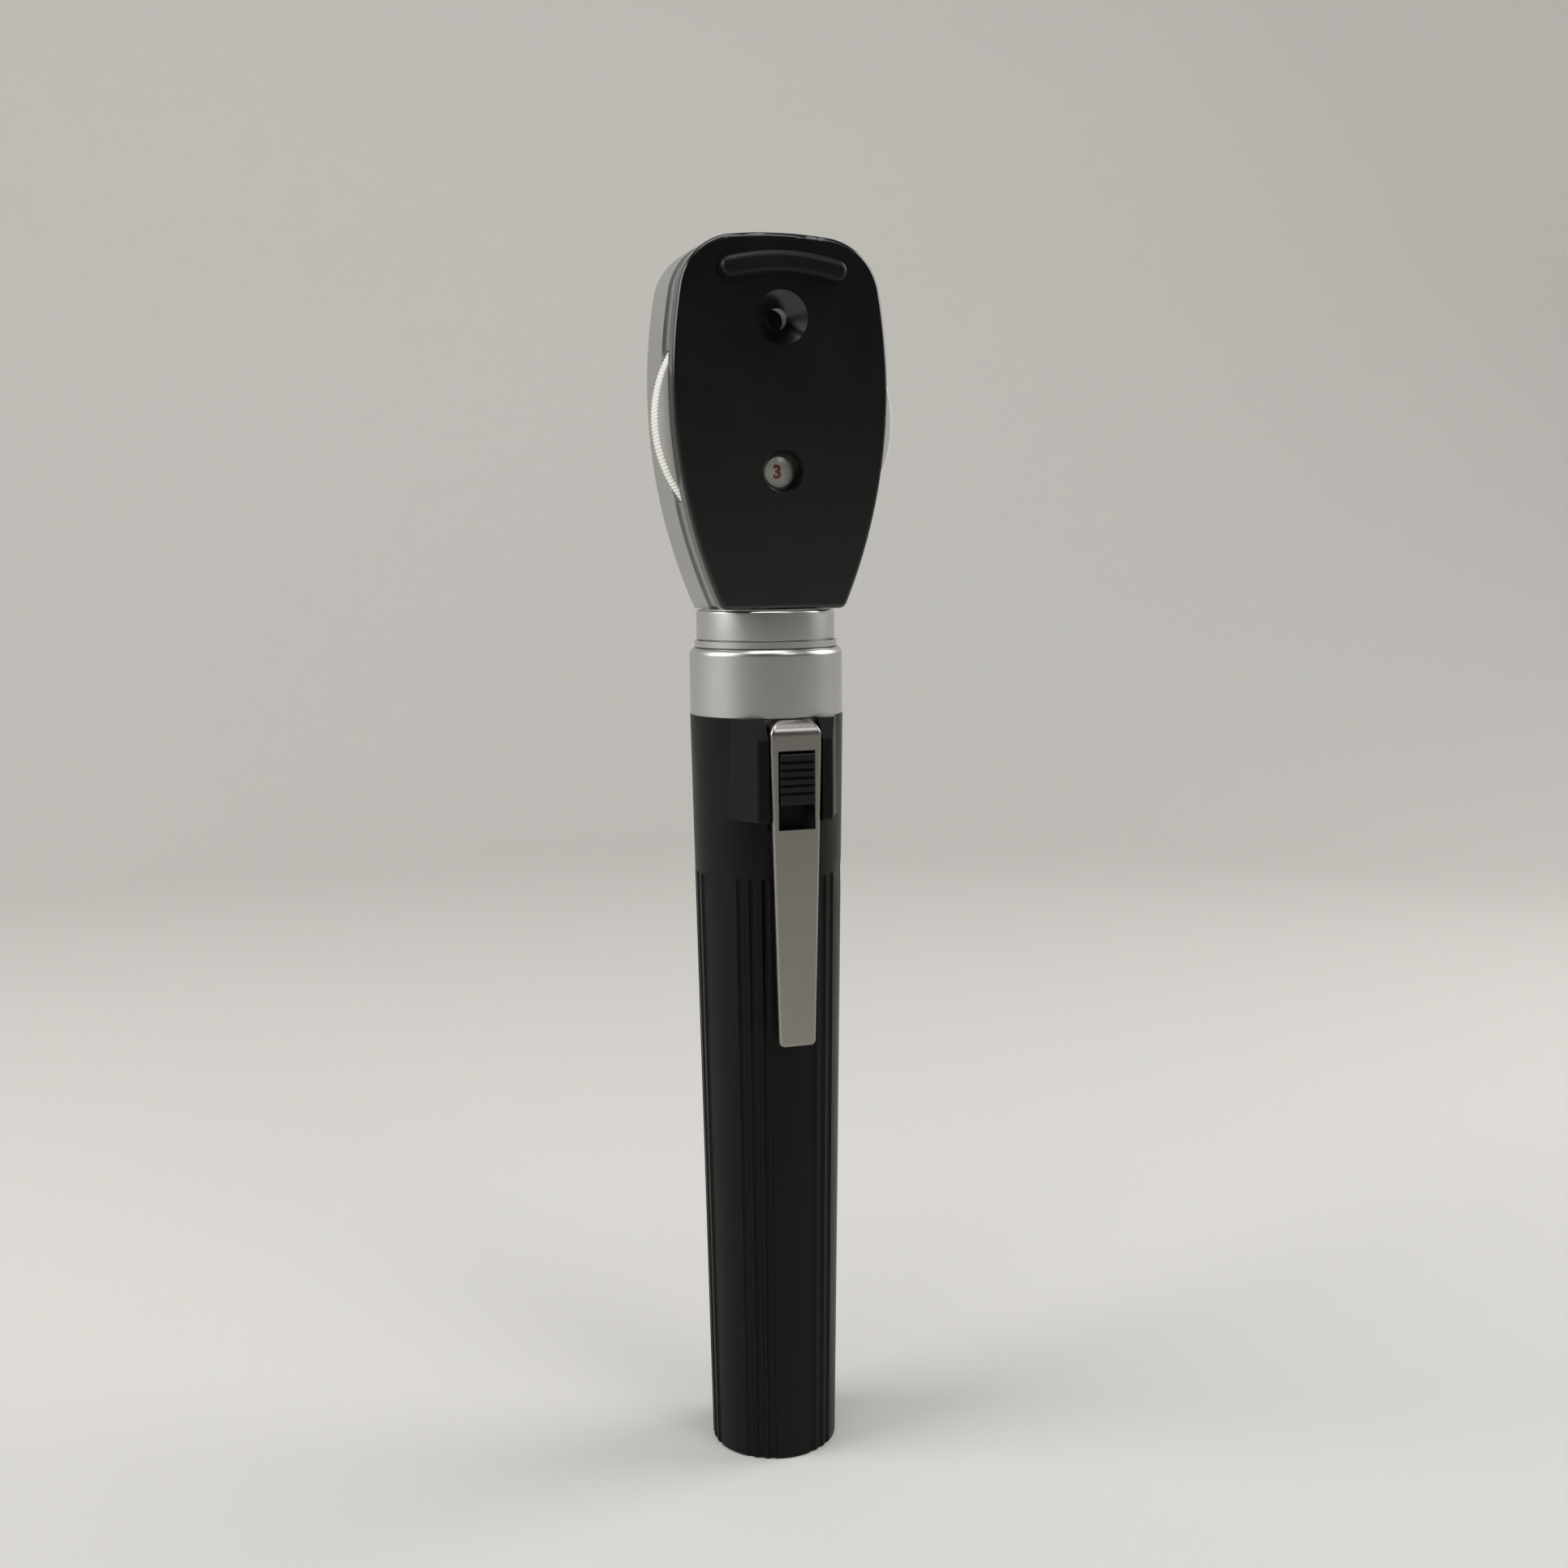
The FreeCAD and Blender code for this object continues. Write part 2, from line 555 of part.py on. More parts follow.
def make_handle_tube():
    """The black handle: tapered and fluted, with the switch boss, battery bore and contact slots."""
    top = size.handle_length
    body = turned_body("handle_tube", [
        (0, 0), (size.foot_radius, 0), (size.top_radius, top), (0, top)])
    blend(body, "Fillet", "foot", ring_at(size.foot_radius, as_size(0)), size.foot_edge)

    boss = new_sketch(body, "boss", "XY_Plane", BOSS_BOTTOM)
    add_polygon(boss, [
        (-size.boss_root_half, -size.boss_root_depth),
        (-size.boss_half_width, -size.boss_depth),
        (size.boss_half_width, -size.boss_depth),
        (size.boss_root_half, -size.boss_root_depth)])
    pad(body, boss, top - BOSS_BOTTOM)
    slope = new_sketch(body, "slope", "YZ_Plane")
    add_polygon(slope, [
        (-size.boss_depth, top - size.boss_slope),
        (-size.boss_slope_depth, top),
        (-size.boss_slope_depth, top + MARGIN),
        (-size.boss_depth - MARGIN, top + MARGIN),
        (-size.boss_depth - MARGIN, top - size.boss_slope)])
    pocket(body, slope, size.boss_root_half * 2 + MARGIN, both_ways=True)

    def boss_edge(edge):
        box = edge.BoundBox
        front = near(box.YMin, -size.boss_depth.value)
        upright = front and near(box.YMax, box.YMin) and box.ZLength > size.boss_slope.value
        under = near(box.ZMin, BOSS_BOTTOM.value) and near(box.ZMax, box.ZMin)
        return upright or (under and front)
    blend(body, "Fillet", "boss_edges", boss_edge, size.boss_edge)

    turns = {"left": -size.flute_spacing, "middle": as_size(0), "right": size.flute_spacing}
    flutes = [flute_feature(body, f"flute_{name}", angle) for name, angle in turns.items()]
    doc.recompute()
    polar_pattern(body, "flutes", flutes, size.flute_groups)

    bore_out(body, "bore", [
        (0, size.floor_thickness),
        (size.bore_radius, size.floor_thickness),
        (size.bore_radius, SEAT_FLOOR),
        (COUNTERBORE, SEAT_FLOOR),
        (COUNTERBORE, top + MARGIN),
        (0, top + MARGIN)])

    channel = new_sketch(body, "channel", "XZ_Plane", size.channel_depth)
    channel_low = CLIP_WINDOW_LOW - size.side_gap * 2
    add_rectangle(channel, (-CHANNEL_HALF, channel_low), (CHANNEL_HALF, top + MARGIN))
    pocket(body, channel, size.boss_depth, reverse=True)

    stem_half = size.blade_half_width + size.side_gap * 2
    slot = new_sketch(body, "stem_slot", "XZ_Plane", size.bore_radius - MARGIN)
    add_rectangle(
        slot,
        (-stem_half, BUTTON_TOP - size.switch_travel * 2 - size.side_gap),
        (stem_half, BUTTON_TOP + size.side_gap))
    pocket(body, slot, size.channel_depth - size.bore_radius + MARGIN * 2, reverse=True)

    recess = new_sketch(body, "blade_recess", "XZ_Plane", size.bore_radius - MARGIN)
    recess_low = BUTTON_LOW - size.switch_travel - size.blade_half_width - size.side_gap
    add_rectangle(recess, (-stem_half, recess_low), (stem_half, SEAT_FLOOR + size.gap))
    recess_depth = BLADE_DEPTH + size.blade_thickness + size.side_gap - size.bore_radius
    pocket(body, recess, recess_depth + MARGIN, reverse=True)

    groove = new_sketch(body, "strip_slot", "XZ_Plane", size.bore_radius - MARGIN)
    strip_half = size.blade_half_width + size.gap
    add_rectangle(groove, (-strip_half, size.floor_thickness), (strip_half, recess_low + MARGIN))
    pocket(body, groove, size.gap * 2 + size.blade_thickness + MARGIN, reverse=True)

    notch = new_sketch(body, "tab_notch", "XY_Plane", top)
    ear_half = CHANNEL_HALF + size.clip_ear
    add_rectangle(
        notch,
        (-ear_half, -TAB_END - size.clip_ear_length - size.side_gap),
        (ear_half, -COUNTERBORE + MARGIN))
    pocket(body, notch, size.clip_thickness + size.side_gap * 2)
    return body


def make_bottom_contact():
    """A brass disc on the floor of the bore, with a tab that the contact strip stands on."""
    low = size.floor_thickness
    top = low + size.contact_sheet
    body = turned_body("bottom_contact", [
        (0, low), (size.cell_radius, low), (size.cell_radius, top), (0, top)])
    tab = new_sketch(body, "tab", "XY_Plane", low)
    add_rectangle(
        tab,
        (-size.blade_half_width, -size.bore_radius - size.blade_thickness - size.gap),
        (size.blade_half_width, -size.bore_radius + MARGIN))
    pad(body, tab, size.contact_sheet)
    return body


def make_contact_strip():
    """The brass strip that brings the cells' negative end up to the switch."""
    body = new_body("contact_strip")
    sketch = new_sketch(body, "strip", "XZ_Plane", size.bore_radius + size.gap)
    add_rectangle(
        sketch,
        (-size.blade_half_width, size.floor_thickness + size.contact_sheet),
        (size.blade_half_width, BUTTON_LOW))
    pad(body, sketch, size.blade_thickness)
    return body


def coil_spring(label, height, length, radius, wire, cone=0):
    """A round-wire coil spring that stands on Z between height and height plus length."""
    helix = doc.addObject("Part::Helix", f"{label}_path")
    free = length - wire * 2 - size.gap
    bind(helix, "Pitch", free / size.spring_turns)
    bind(helix, "Height", free)
    bind(helix, "Radius", radius)
    bind(helix, "Angle", cone)
    section = doc.addObject("Part::Circle", f"{label}_section")
    bind(section, "Radius", wire)
    doc.recompute()
    place(section, x=radius, axis=(1, 0, 0), angle=90)
    doc.recompute()
    spring = doc.addObject("Part::Sweep", label)
    spring.Label = label
    spring.Sections = [section]
    spring.Spine = (helix, [f"Edge{index}" for index in range(1, len(helix.Shape.Edges) + 1)])
    spring.Solid = True
    spring.Frenet = True
    place(spring, z=height + wire + size.gap / 2)
    NODES.append(spring)
    return spring


def cell_foot(index):
    """Height of the lower end of a cell, counted from the floor up."""
    return size.floor_thickness + size.contact_sheet + size.spring_room + size.cell_length * index


def make_cell(label, index):
    """An AA cell: steel can with a shrunk jacket's rounded shoulder and a nub."""
    low = cell_foot(index)
    shoulder = low + size.cell_length - size.cell_nub
    drawn_in = size.cell_radius - size.cell_shoulder
    body = turned_body(label, [
        (0, low),
        (drawn_in, low),
        (size.cell_radius, low + size.cell_nub / 2),
        (size.cell_radius, shoulder - size.cell_nub / 2),
        (drawn_in, shoulder),
        (size.cell_nub_radius, shoulder),
        (size.cell_nub_radius, low + size.cell_length),
        (0, low + size.cell_length)])
    return body


def make_neck_sleeve():
    """The satin metal sleeve pressed into the handle's mouth. Its bore stands for the thread."""
    low = SEAT_FLOOR + size.slip
    top = size.handle_length + size.sleeve_height
    skirt = size.thread_radius + size.skirt_wall
    body = turned_body("neck_sleeve", [
        (size.thread_radius, low),
        (skirt, low),
        (skirt, size.handle_length),
        (size.sleeve_radius, size.handle_length),
        (size.sleeve_radius, top),
        (size.thread_radius, top)])
    blend(body, "Fillet", "rim", ring_at(size.sleeve_radius, top), size.sleeve_round)
    return body


# ---------------------------------------------------------------- clip and switch

def make_pocket_clip():
    """The spring clip: a bent strip with a window for the switch and a nub that grips the pocket."""
    body = new_body("pocket_clip")
    profile = new_sketch(body, "profile", "YZ_Plane")
    add_polygon(profile, [
        (-size.clip_tip_depth, CLIP_TIP),
        (-size.clip_top_depth, TAB_TOP),
        (-TAB_END, TAB_TOP),
        (-TAB_END, TAB_BASE),
        (-(size.clip_top_depth - size.clip_thickness), TAB_BASE),
        (-(size.clip_tip_depth - size.clip_thickness), CLIP_TIP)])
    pad(body, profile, size.clip_half_width * 2, both_ways=True)

    def outer_bend(edge):
        return all_at(edge, "Z", TAB_TOP.value) and near(edge.BoundBox.YMin, -size.clip_top_depth.value)

    def inner_bend(edge):
        return all_at(edge, "Z", TAB_BASE.value) and edge.BoundBox.YMax < -TAB_END.value - MARGIN

    blend(body, "Fillet", "outer_bend", outer_bend, size.clip_bend)
    blend(body, "Fillet", "inner_bend", inner_bend, size.clip_bend - size.clip_thickness)

    far = size.clip_half_width + MARGIN
    waist = CLIP_WINDOW_HIGH
    through = size.clip_top_depth - size.clip_tip_depth + size.clip_thickness + MARGIN * 2
    for name, side in (("left", -1), ("right", 1)):
        taper = new_sketch(body, f"taper_{name}", "XZ_Plane", size.clip_top_depth + MARGIN)
        add_polygon(taper, [
            (size.clip_half_width * side, waist),
            (far * side, waist),
            (far * side, CLIP_TIP - MARGIN),
            (size.clip_tip_half_width * side, CLIP_TIP - MARGIN)])
        pocket(body, taper, through)

    window = new_sketch(body, "window", "XZ_Plane", size.clip_top_depth + MARGIN)
    add_rectangle(
        window, (-size.clip_window_half, CLIP_WINDOW_LOW), (size.clip_window_half, CLIP_WINDOW_HIGH))
    pocket(body, window, through)

    ears = new_sketch(body, "ears", "XY_Plane", TAB_BASE)
    ear_half = size.clip_half_width + size.clip_ear
    add_rectangle(ears, (-ear_half, -TAB_END - size.clip_ear_length), (ear_half, -TAB_END))
    pad(body, ears, size.clip_thickness)

    reach = size.clip_tip_depth - size.clip_thickness
    middle = CLIP_TIP + size.nub_length / 2
    surface = size.foot_radius + (size.top_radius - size.foot_radius) * middle / size.handle_length
    nub = new_sketch(body, "nub", "YZ_Plane")
    add_polygon(nub, [
        (-reach - size.clip_thickness / 2, CLIP_TIP),
        (-reach, CLIP_TIP),
        (-(surface + size.gap * 2), middle - size.nub_length / 6),
        (-(surface + size.gap), middle),
        (-(surface + size.gap * 2), middle + size.nub_length / 6),
        (-reach, CLIP_TIP + size.nub_length),
        (-reach - size.clip_thickness / 2, CLIP_TIP + size.nub_length)])
    pad(body, nub, size.nub_half_width * 2, both_ways=True)

    def tip_corner(edge):
        box = edge.BoundBox
        level = box.ZLength < CLOSE and near(box.ZMin, CLIP_TIP.value)
        beside_nub = abs(box.XMin) > size.nub_half_width.value + size.gap.value
        return level and box.XLength < CLOSE and beside_nub

    def rolled_edge(edge):
        box = edge.BoundBox
        outside = box.YMin < CLOSE - size.clip_tip_depth.value and box.YLength < size.clip_thickness.value
        long_side = box.ZLength > CLIP_WINDOW_LOW.value - CLIP_TIP.value
        return outside and long_side and abs(box.Center.x) > size.clip_tip_half_width.value
    blend(body, "Fillet", "tip_corners", tip_corner, size.clip_thickness)
    blend(body, "Fillet", "rolled_edges", rolled_edge, size.clip_edge)
    return body


def make_switch_slider():
    """The ribbed button with the plate that runs in the channel and the stem that carries the contact."""
    body = new_body("switch_slider")
    base_depth = size.channel_depth + size.slip
    base_face = base_depth + size.slider_plate
    base = new_sketch(body, "base", "XZ_Plane", base_depth)
    base_half = CHANNEL_HALF - size.side_gap * 2
    add_rectangle(base, (-base_half, BUTTON_LOW - size.gap), (base_half, BUTTON_TOP + size.rib_pitch))
    pad(body, base, base_face - base_depth)

    face = size.clip_top_depth + size.button_proud
    button_half = size.clip_window_half - size.side_gap
    button = new_sketch(body, "button", "XZ_Plane", base_face)
    add_rectangle(button, (-button_half, BUTTON_LOW), (button_half, BUTTON_TOP))
    pad(body, button, face - base_face)

    def button_edge(edge):
        box = edge.BoundBox
        return near(box.YMin, -face.value) and near(box.YMax, -face.value)
    blend(body, "Fillet", "button_edges", button_edge, size.rib_depth / 2)

    first = BUTTON_TOP - size.rib_pitch
    rib = new_sketch(body, "rib", "YZ_Plane")
    add_polygon(rib, [
        (-face - size.rib_depth, first + size.rib_depth),
        (-face + size.rib_depth, first - size.rib_depth / 4),
        (-face + size.rib_depth, first - size.rib_depth / 2),
        (-face - size.rib_depth, first - size.rib_depth)])
    cut = pocket(body, rib, button_half * 2 + MARGIN, both_ways=True)
    pattern = body.newObject("PartDesign::LinearPattern", "switch_slider_ribs")
    pattern.Originals = [cut]
    axis = next(item for item in body.Origin.OriginFeatures if item.Role == "Z_Axis")
    pattern.Direction = (axis, [""])
    pattern.Reversed = True
    bind(pattern, "Length", size.rib_pitch * (size.rib_count - 1))
    bind(pattern, "Occurrences", size.rib_count)
    body.Tip = pattern

    stem = new_sketch(body, "stem", "XZ_Plane", BLADE_DEPTH + size.blade_thickness)
    stem_half = size.blade_half_width + size.gap
    add_rectangle(stem, (-stem_half, BUTTON_TOP - size.switch_travel), (stem_half, BUTTON_TOP))
    pad(body, stem, base_depth - BLADE_DEPTH - size.blade_thickness + size.slip)
    return body


def make_switch_contact():
    """The brass blade on the stem. With the switch up it joins the contact strip to the sleeve's skirt."""
    body = new_body("switch_contact")
    sketch = new_sketch(body, "blade", "XZ_Plane", BLADE_DEPTH)
    half = size.blade_half_width
    add_rectangle(sketch, (-half, BUTTON_LOW - half), (half, SEAT_FLOOR - size.side_gap))
    pad(body, sketch, size.blade_thickness)
    return body


# ---------------------------------------------------------------- neck and lamp

SPIGOT_LOW = SLEEVE_TOP + size.slip - size.thread_length
CARRIER_TOP = SPIGOT_LOW + size.carrier_height
NUT_LOW = HEAD_BASE + size.casing_wall + size.lip_inset + size.slip
STEM_TOP = NUT_LOW + size.nut_height


def make_neck_washer():
    """The loose ring between sleeve and collar. It rises with the head and doesn't turn with it."""
    top = WASHER_LOW + size.washer_height
    bore = size.throat_radius + size.slip
    body = turned_body("neck_washer", [
        (bore, WASHER_LOW), (size.washer_radius, WASHER_LOW), (size.washer_radius, top), (bore, top)])
    return body


def make_head_collar():
    """The head's collar with the spigot that screws into the sleeve and the stem that holds the casing."""
    throat_low = SLEEVE_TOP + size.slip
    body = turned_body("head_collar", [
        (size.collar_bore, SPIGOT_LOW),
        (size.thread_radius - size.slip, SPIGOT_LOW),
        (size.thread_radius - size.slip, throat_low),
        (size.throat_radius, throat_low),
        (size.throat_radius, COLLAR_LOW),
        (size.collar_radius, COLLAR_LOW),
        (size.collar_radius, COLLAR_TOP),
        (size.collar_radius - size.sleeve_round, COLLAR_TOP),
        (size.collar_radius - size.sleeve_round, HEAD_BASE),
        (size.stem_radius, HEAD_BASE),
        (size.stem_radius, STEM_TOP),
        (size.stem_bore, STEM_TOP),
        (size.stem_bore, CARRIER_TOP),
        (size.collar_bore, CARRIER_TOP)])
    blend(body, "Fillet", "rim", ring_at(size.collar_radius, COLLAR_TOP), size.collar_edge)
    return body


def make_collar_nut():
    """The ring nut that clamps the casing to the collar."""
    inner = size.stem_radius + size.slip
    outer = size.stem_radius + size.nut_wall
    top = STEM_TOP - size.gap
    body = turned_body("collar_nut", [
        (inner, NUT_LOW), (outer, NUT_LOW), (outer, top), (inner, top)])
    return body


def make_contact_carrier():
    """The insulating disc in the collar that guides the centre contact."""
    top = CARRIER_TOP - size.slip
    radius = size.collar_bore - size.slip
    hole = size.blade_half_width
    low = SPIGOT_LOW + size.gap
    ledge = top - size.thin_wall
    neck = size.stem_bore - size.gap
    body = turned_body("contact_carrier", [
        (hole, low), (radius, low), (radius, ledge), (neck, ledge), (neck, top), (hole, top)])
    return body


PIN_TOP = CARRIER_TOP + size.contact_sheet
SOCKET_LOW = PIN_TOP + size.side_gap
LAMP_LOW = PIN_TOP + size.contact_room
SOCKET_TOP = STEM_TOP - size.thin_wall


def make_centre_contact():
    """The brass pin that touches the upper cell's nub."""
    stem = size.blade_half_width - size.slip
    body = turned_body("centre_contact", [
        (0, cell_foot(2) + size.slip),
        (stem, cell_foot(2) + size.slip + stem / 2),
        (stem, CARRIER_TOP),
        (size.contact_head, CARRIER_TOP),
        (size.contact_head, PIN_TOP),
        (0, PIN_TOP)])
    return body


def make_lamp_socket():
    """The brass sleeve that the lamp drops into."""
    outer = size.stem_bore - size.slip
    inner = size.lamp_radius + size.slip
    body = turned_body("lamp_socket", [
        (inner, SOCKET_LOW), (outer, SOCKET_LOW), (outer, SOCKET_TOP), (inner, SOCKET_TOP)])
    return body


BULB_FOOT = SOCKET_TOP - size.bulb_radius / 2
BULB_TOP = BULB_FOOT + size.bulb_length


def make_lamp_base():
    """The lamp's brass base: centre button, barrel, flange and the cup that holds the glass."""
    cup = size.bulb_radius + size.slip
    body = turned_body("lamp_base", [
        (0, LAMP_LOW),
        (size.blade_half_width, LAMP_LOW),
        (size.lamp_radius, LAMP_LOW + size.blade_half_width / 2),
        (size.lamp_radius, SOCKET_TOP + size.slip),
        (size.stem_bore - size.gap, SOCKET_TOP + size.slip),
        (size.stem_bore - size.gap, STEM_TOP - size.side_gap),
        (cup, STEM_TOP - size.side_gap),
        (cup, BULB_FOOT - size.slip),
        (0, BULB_FOOT - size.slip)])
    return body


def add_dome_section(sketch, radius, foot, shoulder):
    """Half of a dome-ended cylinder: foot line, wall, quarter circle and the axis."""
    radius = as_size(radius)
    base = sketch.addGeometry(Part.LineSegment(vector(0, foot), vector(radius, foot)), False)
    wall = sketch.addGeometry(Part.LineSegment(vector(radius, foot), vector(radius, shoulder)), False)
    circle = Part.Circle(vector(0, shoulder), FreeCAD.Vector(0, 0, 1), radius.value)
    dome = sketch.addGeometry(Part.ArcOfCircle(circle, 0, math.pi / 2), False)
    axis = sketch.addGeometry(Part.LineSegment(vector(0, shoulder + radius), vector(0, foot)), False)
    fix_point(sketch, base, 1, 0, foot)
    fix_point(sketch, wall, 1, radius, foot)
    fix_point(sketch, wall, 2, radius, shoulder)
    sketch.addConstraint(Sketcher.Constraint("Coincident", base, 2, wall, 1))
    sketch.addConstraint(Sketcher.Constraint("Coincident", dome, 2, axis, 1))
    sketch.addConstraint(Sketcher.Constraint("Coincident", axis, 2, base, 1))
    sketch.addConstraint(Sketcher.Constraint("PointOnObject", dome, 2, -2))
    sketch.addConstraint(Sketcher.Constraint("PointOnObject", dome, 3, -2))
    sketch.addConstraint(Sketcher.Constraint("Tangent", wall, 2, dome, 1))


def make_lamp_bulb():
    """The lamp's hollow glass with a round end."""
    body = new_body("lamp_bulb")
    outside = new_sketch(body, "outside")
    add_dome_section(outside, size.bulb_radius, BULB_FOOT, BULB_TOP - size.bulb_radius)
    turn(body, "Revolution", outside)
    inside = new_sketch(body, "inside")
    room = size.bulb_radius - size.bulb_wall
    add_dome_section(inside, room, BULB_FOOT + size.bulb_wall, BULB_TOP - size.bulb_radius)
    turn(body, "Groove", inside)
    return body


def make_lamp_filament():
    """Two lead wires and the coiled filament between them, drawn as a bar."""
    body = new_body("lamp_filament")
    wire = size.fine_wire
    spread = size.bulb_radius / 2
    low = BULB_FOOT + size.bulb_wall + size.slip
    high = BULB_TOP - size.bulb_radius
    leads = new_sketch(body, "leads", "XY_Plane", low)
    add_circle(leads, spread, 0, wire)
    add_circle(leads, -spread, 0, wire)
    pad(body, leads, high - low)
    bar = new_sketch(body, "bar", "YZ_Plane")
    add_circle(bar, 0, high, wire)
    pad(body, bar, spread * 2, both_ways=True)
    return body


# ---------------------------------------------------------------- casing and back plate

PLATE_BACK = size.plate_seat
PLATE_FACE = PLATE_BACK + size.plate_thickness
BLIND_DEPTH = size.plate_thickness * size.seat_share
LIP_RING = size.casing_wall + size.lip_inset
POST_END = size.lip_depth + size.post_rise
WHEEL_FACE = PLATE_BACK - size.wheel_gap
WHEEL_BACK = WHEEL_FACE - size.wheel_thickness
SCREWS = [
    (-size.low_screw_x, LOW_SCREW_Z),
    (size.low_screw_x, LOW_SCREW_Z),
    (as_size(0), TOP_SCREW_Z)]


def add_head_outline(sketch, inset):
    """The head's outline: flat foot, bowed sides, round shoulders and a gentle crown."""
    inset = as_size(inset)
    base = HEAD_BASE + inset
    side_x = size.head_half_width - size.side_radius
    side = size.side_radius - inset
    crown_z = HEAD_TOP - size.crown_radius
    crown = size.crown_radius - inset
    shoulder = size.shoulder_radius - inset
    # The shoulder circle touches the side circle and the crown circle from inside.
    from_side = size.side_radius.value - size.shoulder_radius.value
    from_crown = size.crown_radius.value - size.shoulder_radius.value
    across = -side_x.value
    rise = crown_z.value - HEAD_WIDEST.value
    span = math.hypot(across, rise)
    along = (from_side ** 2 - from_crown ** 2 + span ** 2) / (2 * span)
    off = math.sqrt(from_side ** 2 - along ** 2)
    centre_x = side_x.value + (along * across - off * rise) / span
    centre_z = HEAD_WIDEST.value + (along * rise + off * across) / span
    lean = math.atan2(centre_z - HEAD_WIDEST.value, centre_x - side_x.value)
    tilt = math.atan2(centre_z - crown_z.value, centre_x)
    drop = math.asin((base.value - HEAD_WIDEST.value) / side.value)
    foot_x = side_x.value + side.value * math.cos(drop)

    up = FreeCAD.Vector(0, 0, 1)

    def arc(x, z, radius, low, high):
        circle = Part.Circle(FreeCAD.Vector(x, z, 0), up, radius)
        return sketch.addGeometry(Part.ArcOfCircle(circle, low, high), False)

    foot = sketch.addGeometry(Part.LineSegment(
        FreeCAD.Vector(-foot_x, base.value, 0), FreeCAD.Vector(foot_x, base.value, 0)), False)
    right = arc(side_x.value, HEAD_WIDEST.value, side.value, drop, lean)
    right_shoulder = arc(centre_x, centre_z, shoulder.value, lean, tilt)
    top = arc(0, crown_z.value, crown.value, tilt, math.pi - tilt)
    left_shoulder = arc(-centre_x, centre_z, shoulder.value, math.pi - tilt, math.pi - lean)
    left = arc(-side_x.value, HEAD_WIDEST.value, side.value, math.pi - lean, math.pi - drop)

    sketch.addConstraint(Sketcher.Constraint("Coincident", foot, 2, right, 1))
    sketch.addConstraint(Sketcher.Constraint("Coincident", foot, 1, left, 2))
    round_the_head = (right, right_shoulder, top, left_shoulder, left)
    for first, second in zip(round_the_head, round_the_head[1:]):
        sketch.addConstraint(Sketcher.Constraint("Tangent", first, 2, second, 1))
    fix_point(sketch, right, 3, side_x, HEAD_WIDEST)
    fix_point(sketch, left, 3, -side_x, HEAD_WIDEST)
    fix_point(sketch, top, 3, 0, crown_z)
    fix_coordinate(sketch, "DistanceY", -1, foot, 1, base)
    fix_coordinate(sketch, "DistanceY", -1, foot, 2, base)
    for item, radius in zip(round_the_head, (side, shoulder, crown, shoulder, side)):
        index = sketch.addConstraint(Sketcher.Constraint("Radius", item, radius.value))
        bind(sketch, f"Constraints[{index}]", radius)


def head_slab(body, name, inset, low_depth, high_depth, kind=pad):
    """The head's outline between two depths, added or taken away."""
    sketch = new_sketch(body, name, "XZ_Plane", low_depth)
    add_head_outline(sketch, inset)
    return kind(body, sketch, high_depth - low_depth, reverse=kind is pocket)


def lower_corner(edge):
    """The two edges along Y where the head's sides meet its foot."""
    box = edge.BoundBox
    along_y = box.YLength > size.casing_wall.value / 2 and box.XLength < CLOSE
    return along_y and near(box.ZMin, HEAD_BASE.value)


def at_depth(depth):
    """Edges of the head's outline that lie in one plane facing the examiner."""
    def test(edge):
        box = edge.BoundBox
        return near(box.YMin, -depth.value) and near(box.YMax, -depth.value)
    return test


def cone_cut(body, name, height, profile):
    """Turns a section of (depth, radius) round an axis that points at the examiner and takes it away."""
    sketch = new_sketch(body, name, "YZ_Plane")
    axis = sketch.addGeometry(Part.LineSegment(vector(-1, height), vector(1, height)), True)
    fix_point(sketch, axis, 1, -1, height)
    fix_point(sketch, axis, 2, 1, height)
    add_polygon(sketch, [(-depth, height + radius) for depth, radius in profile])
    return turn(body, "Groove", sketch, "Axis0")


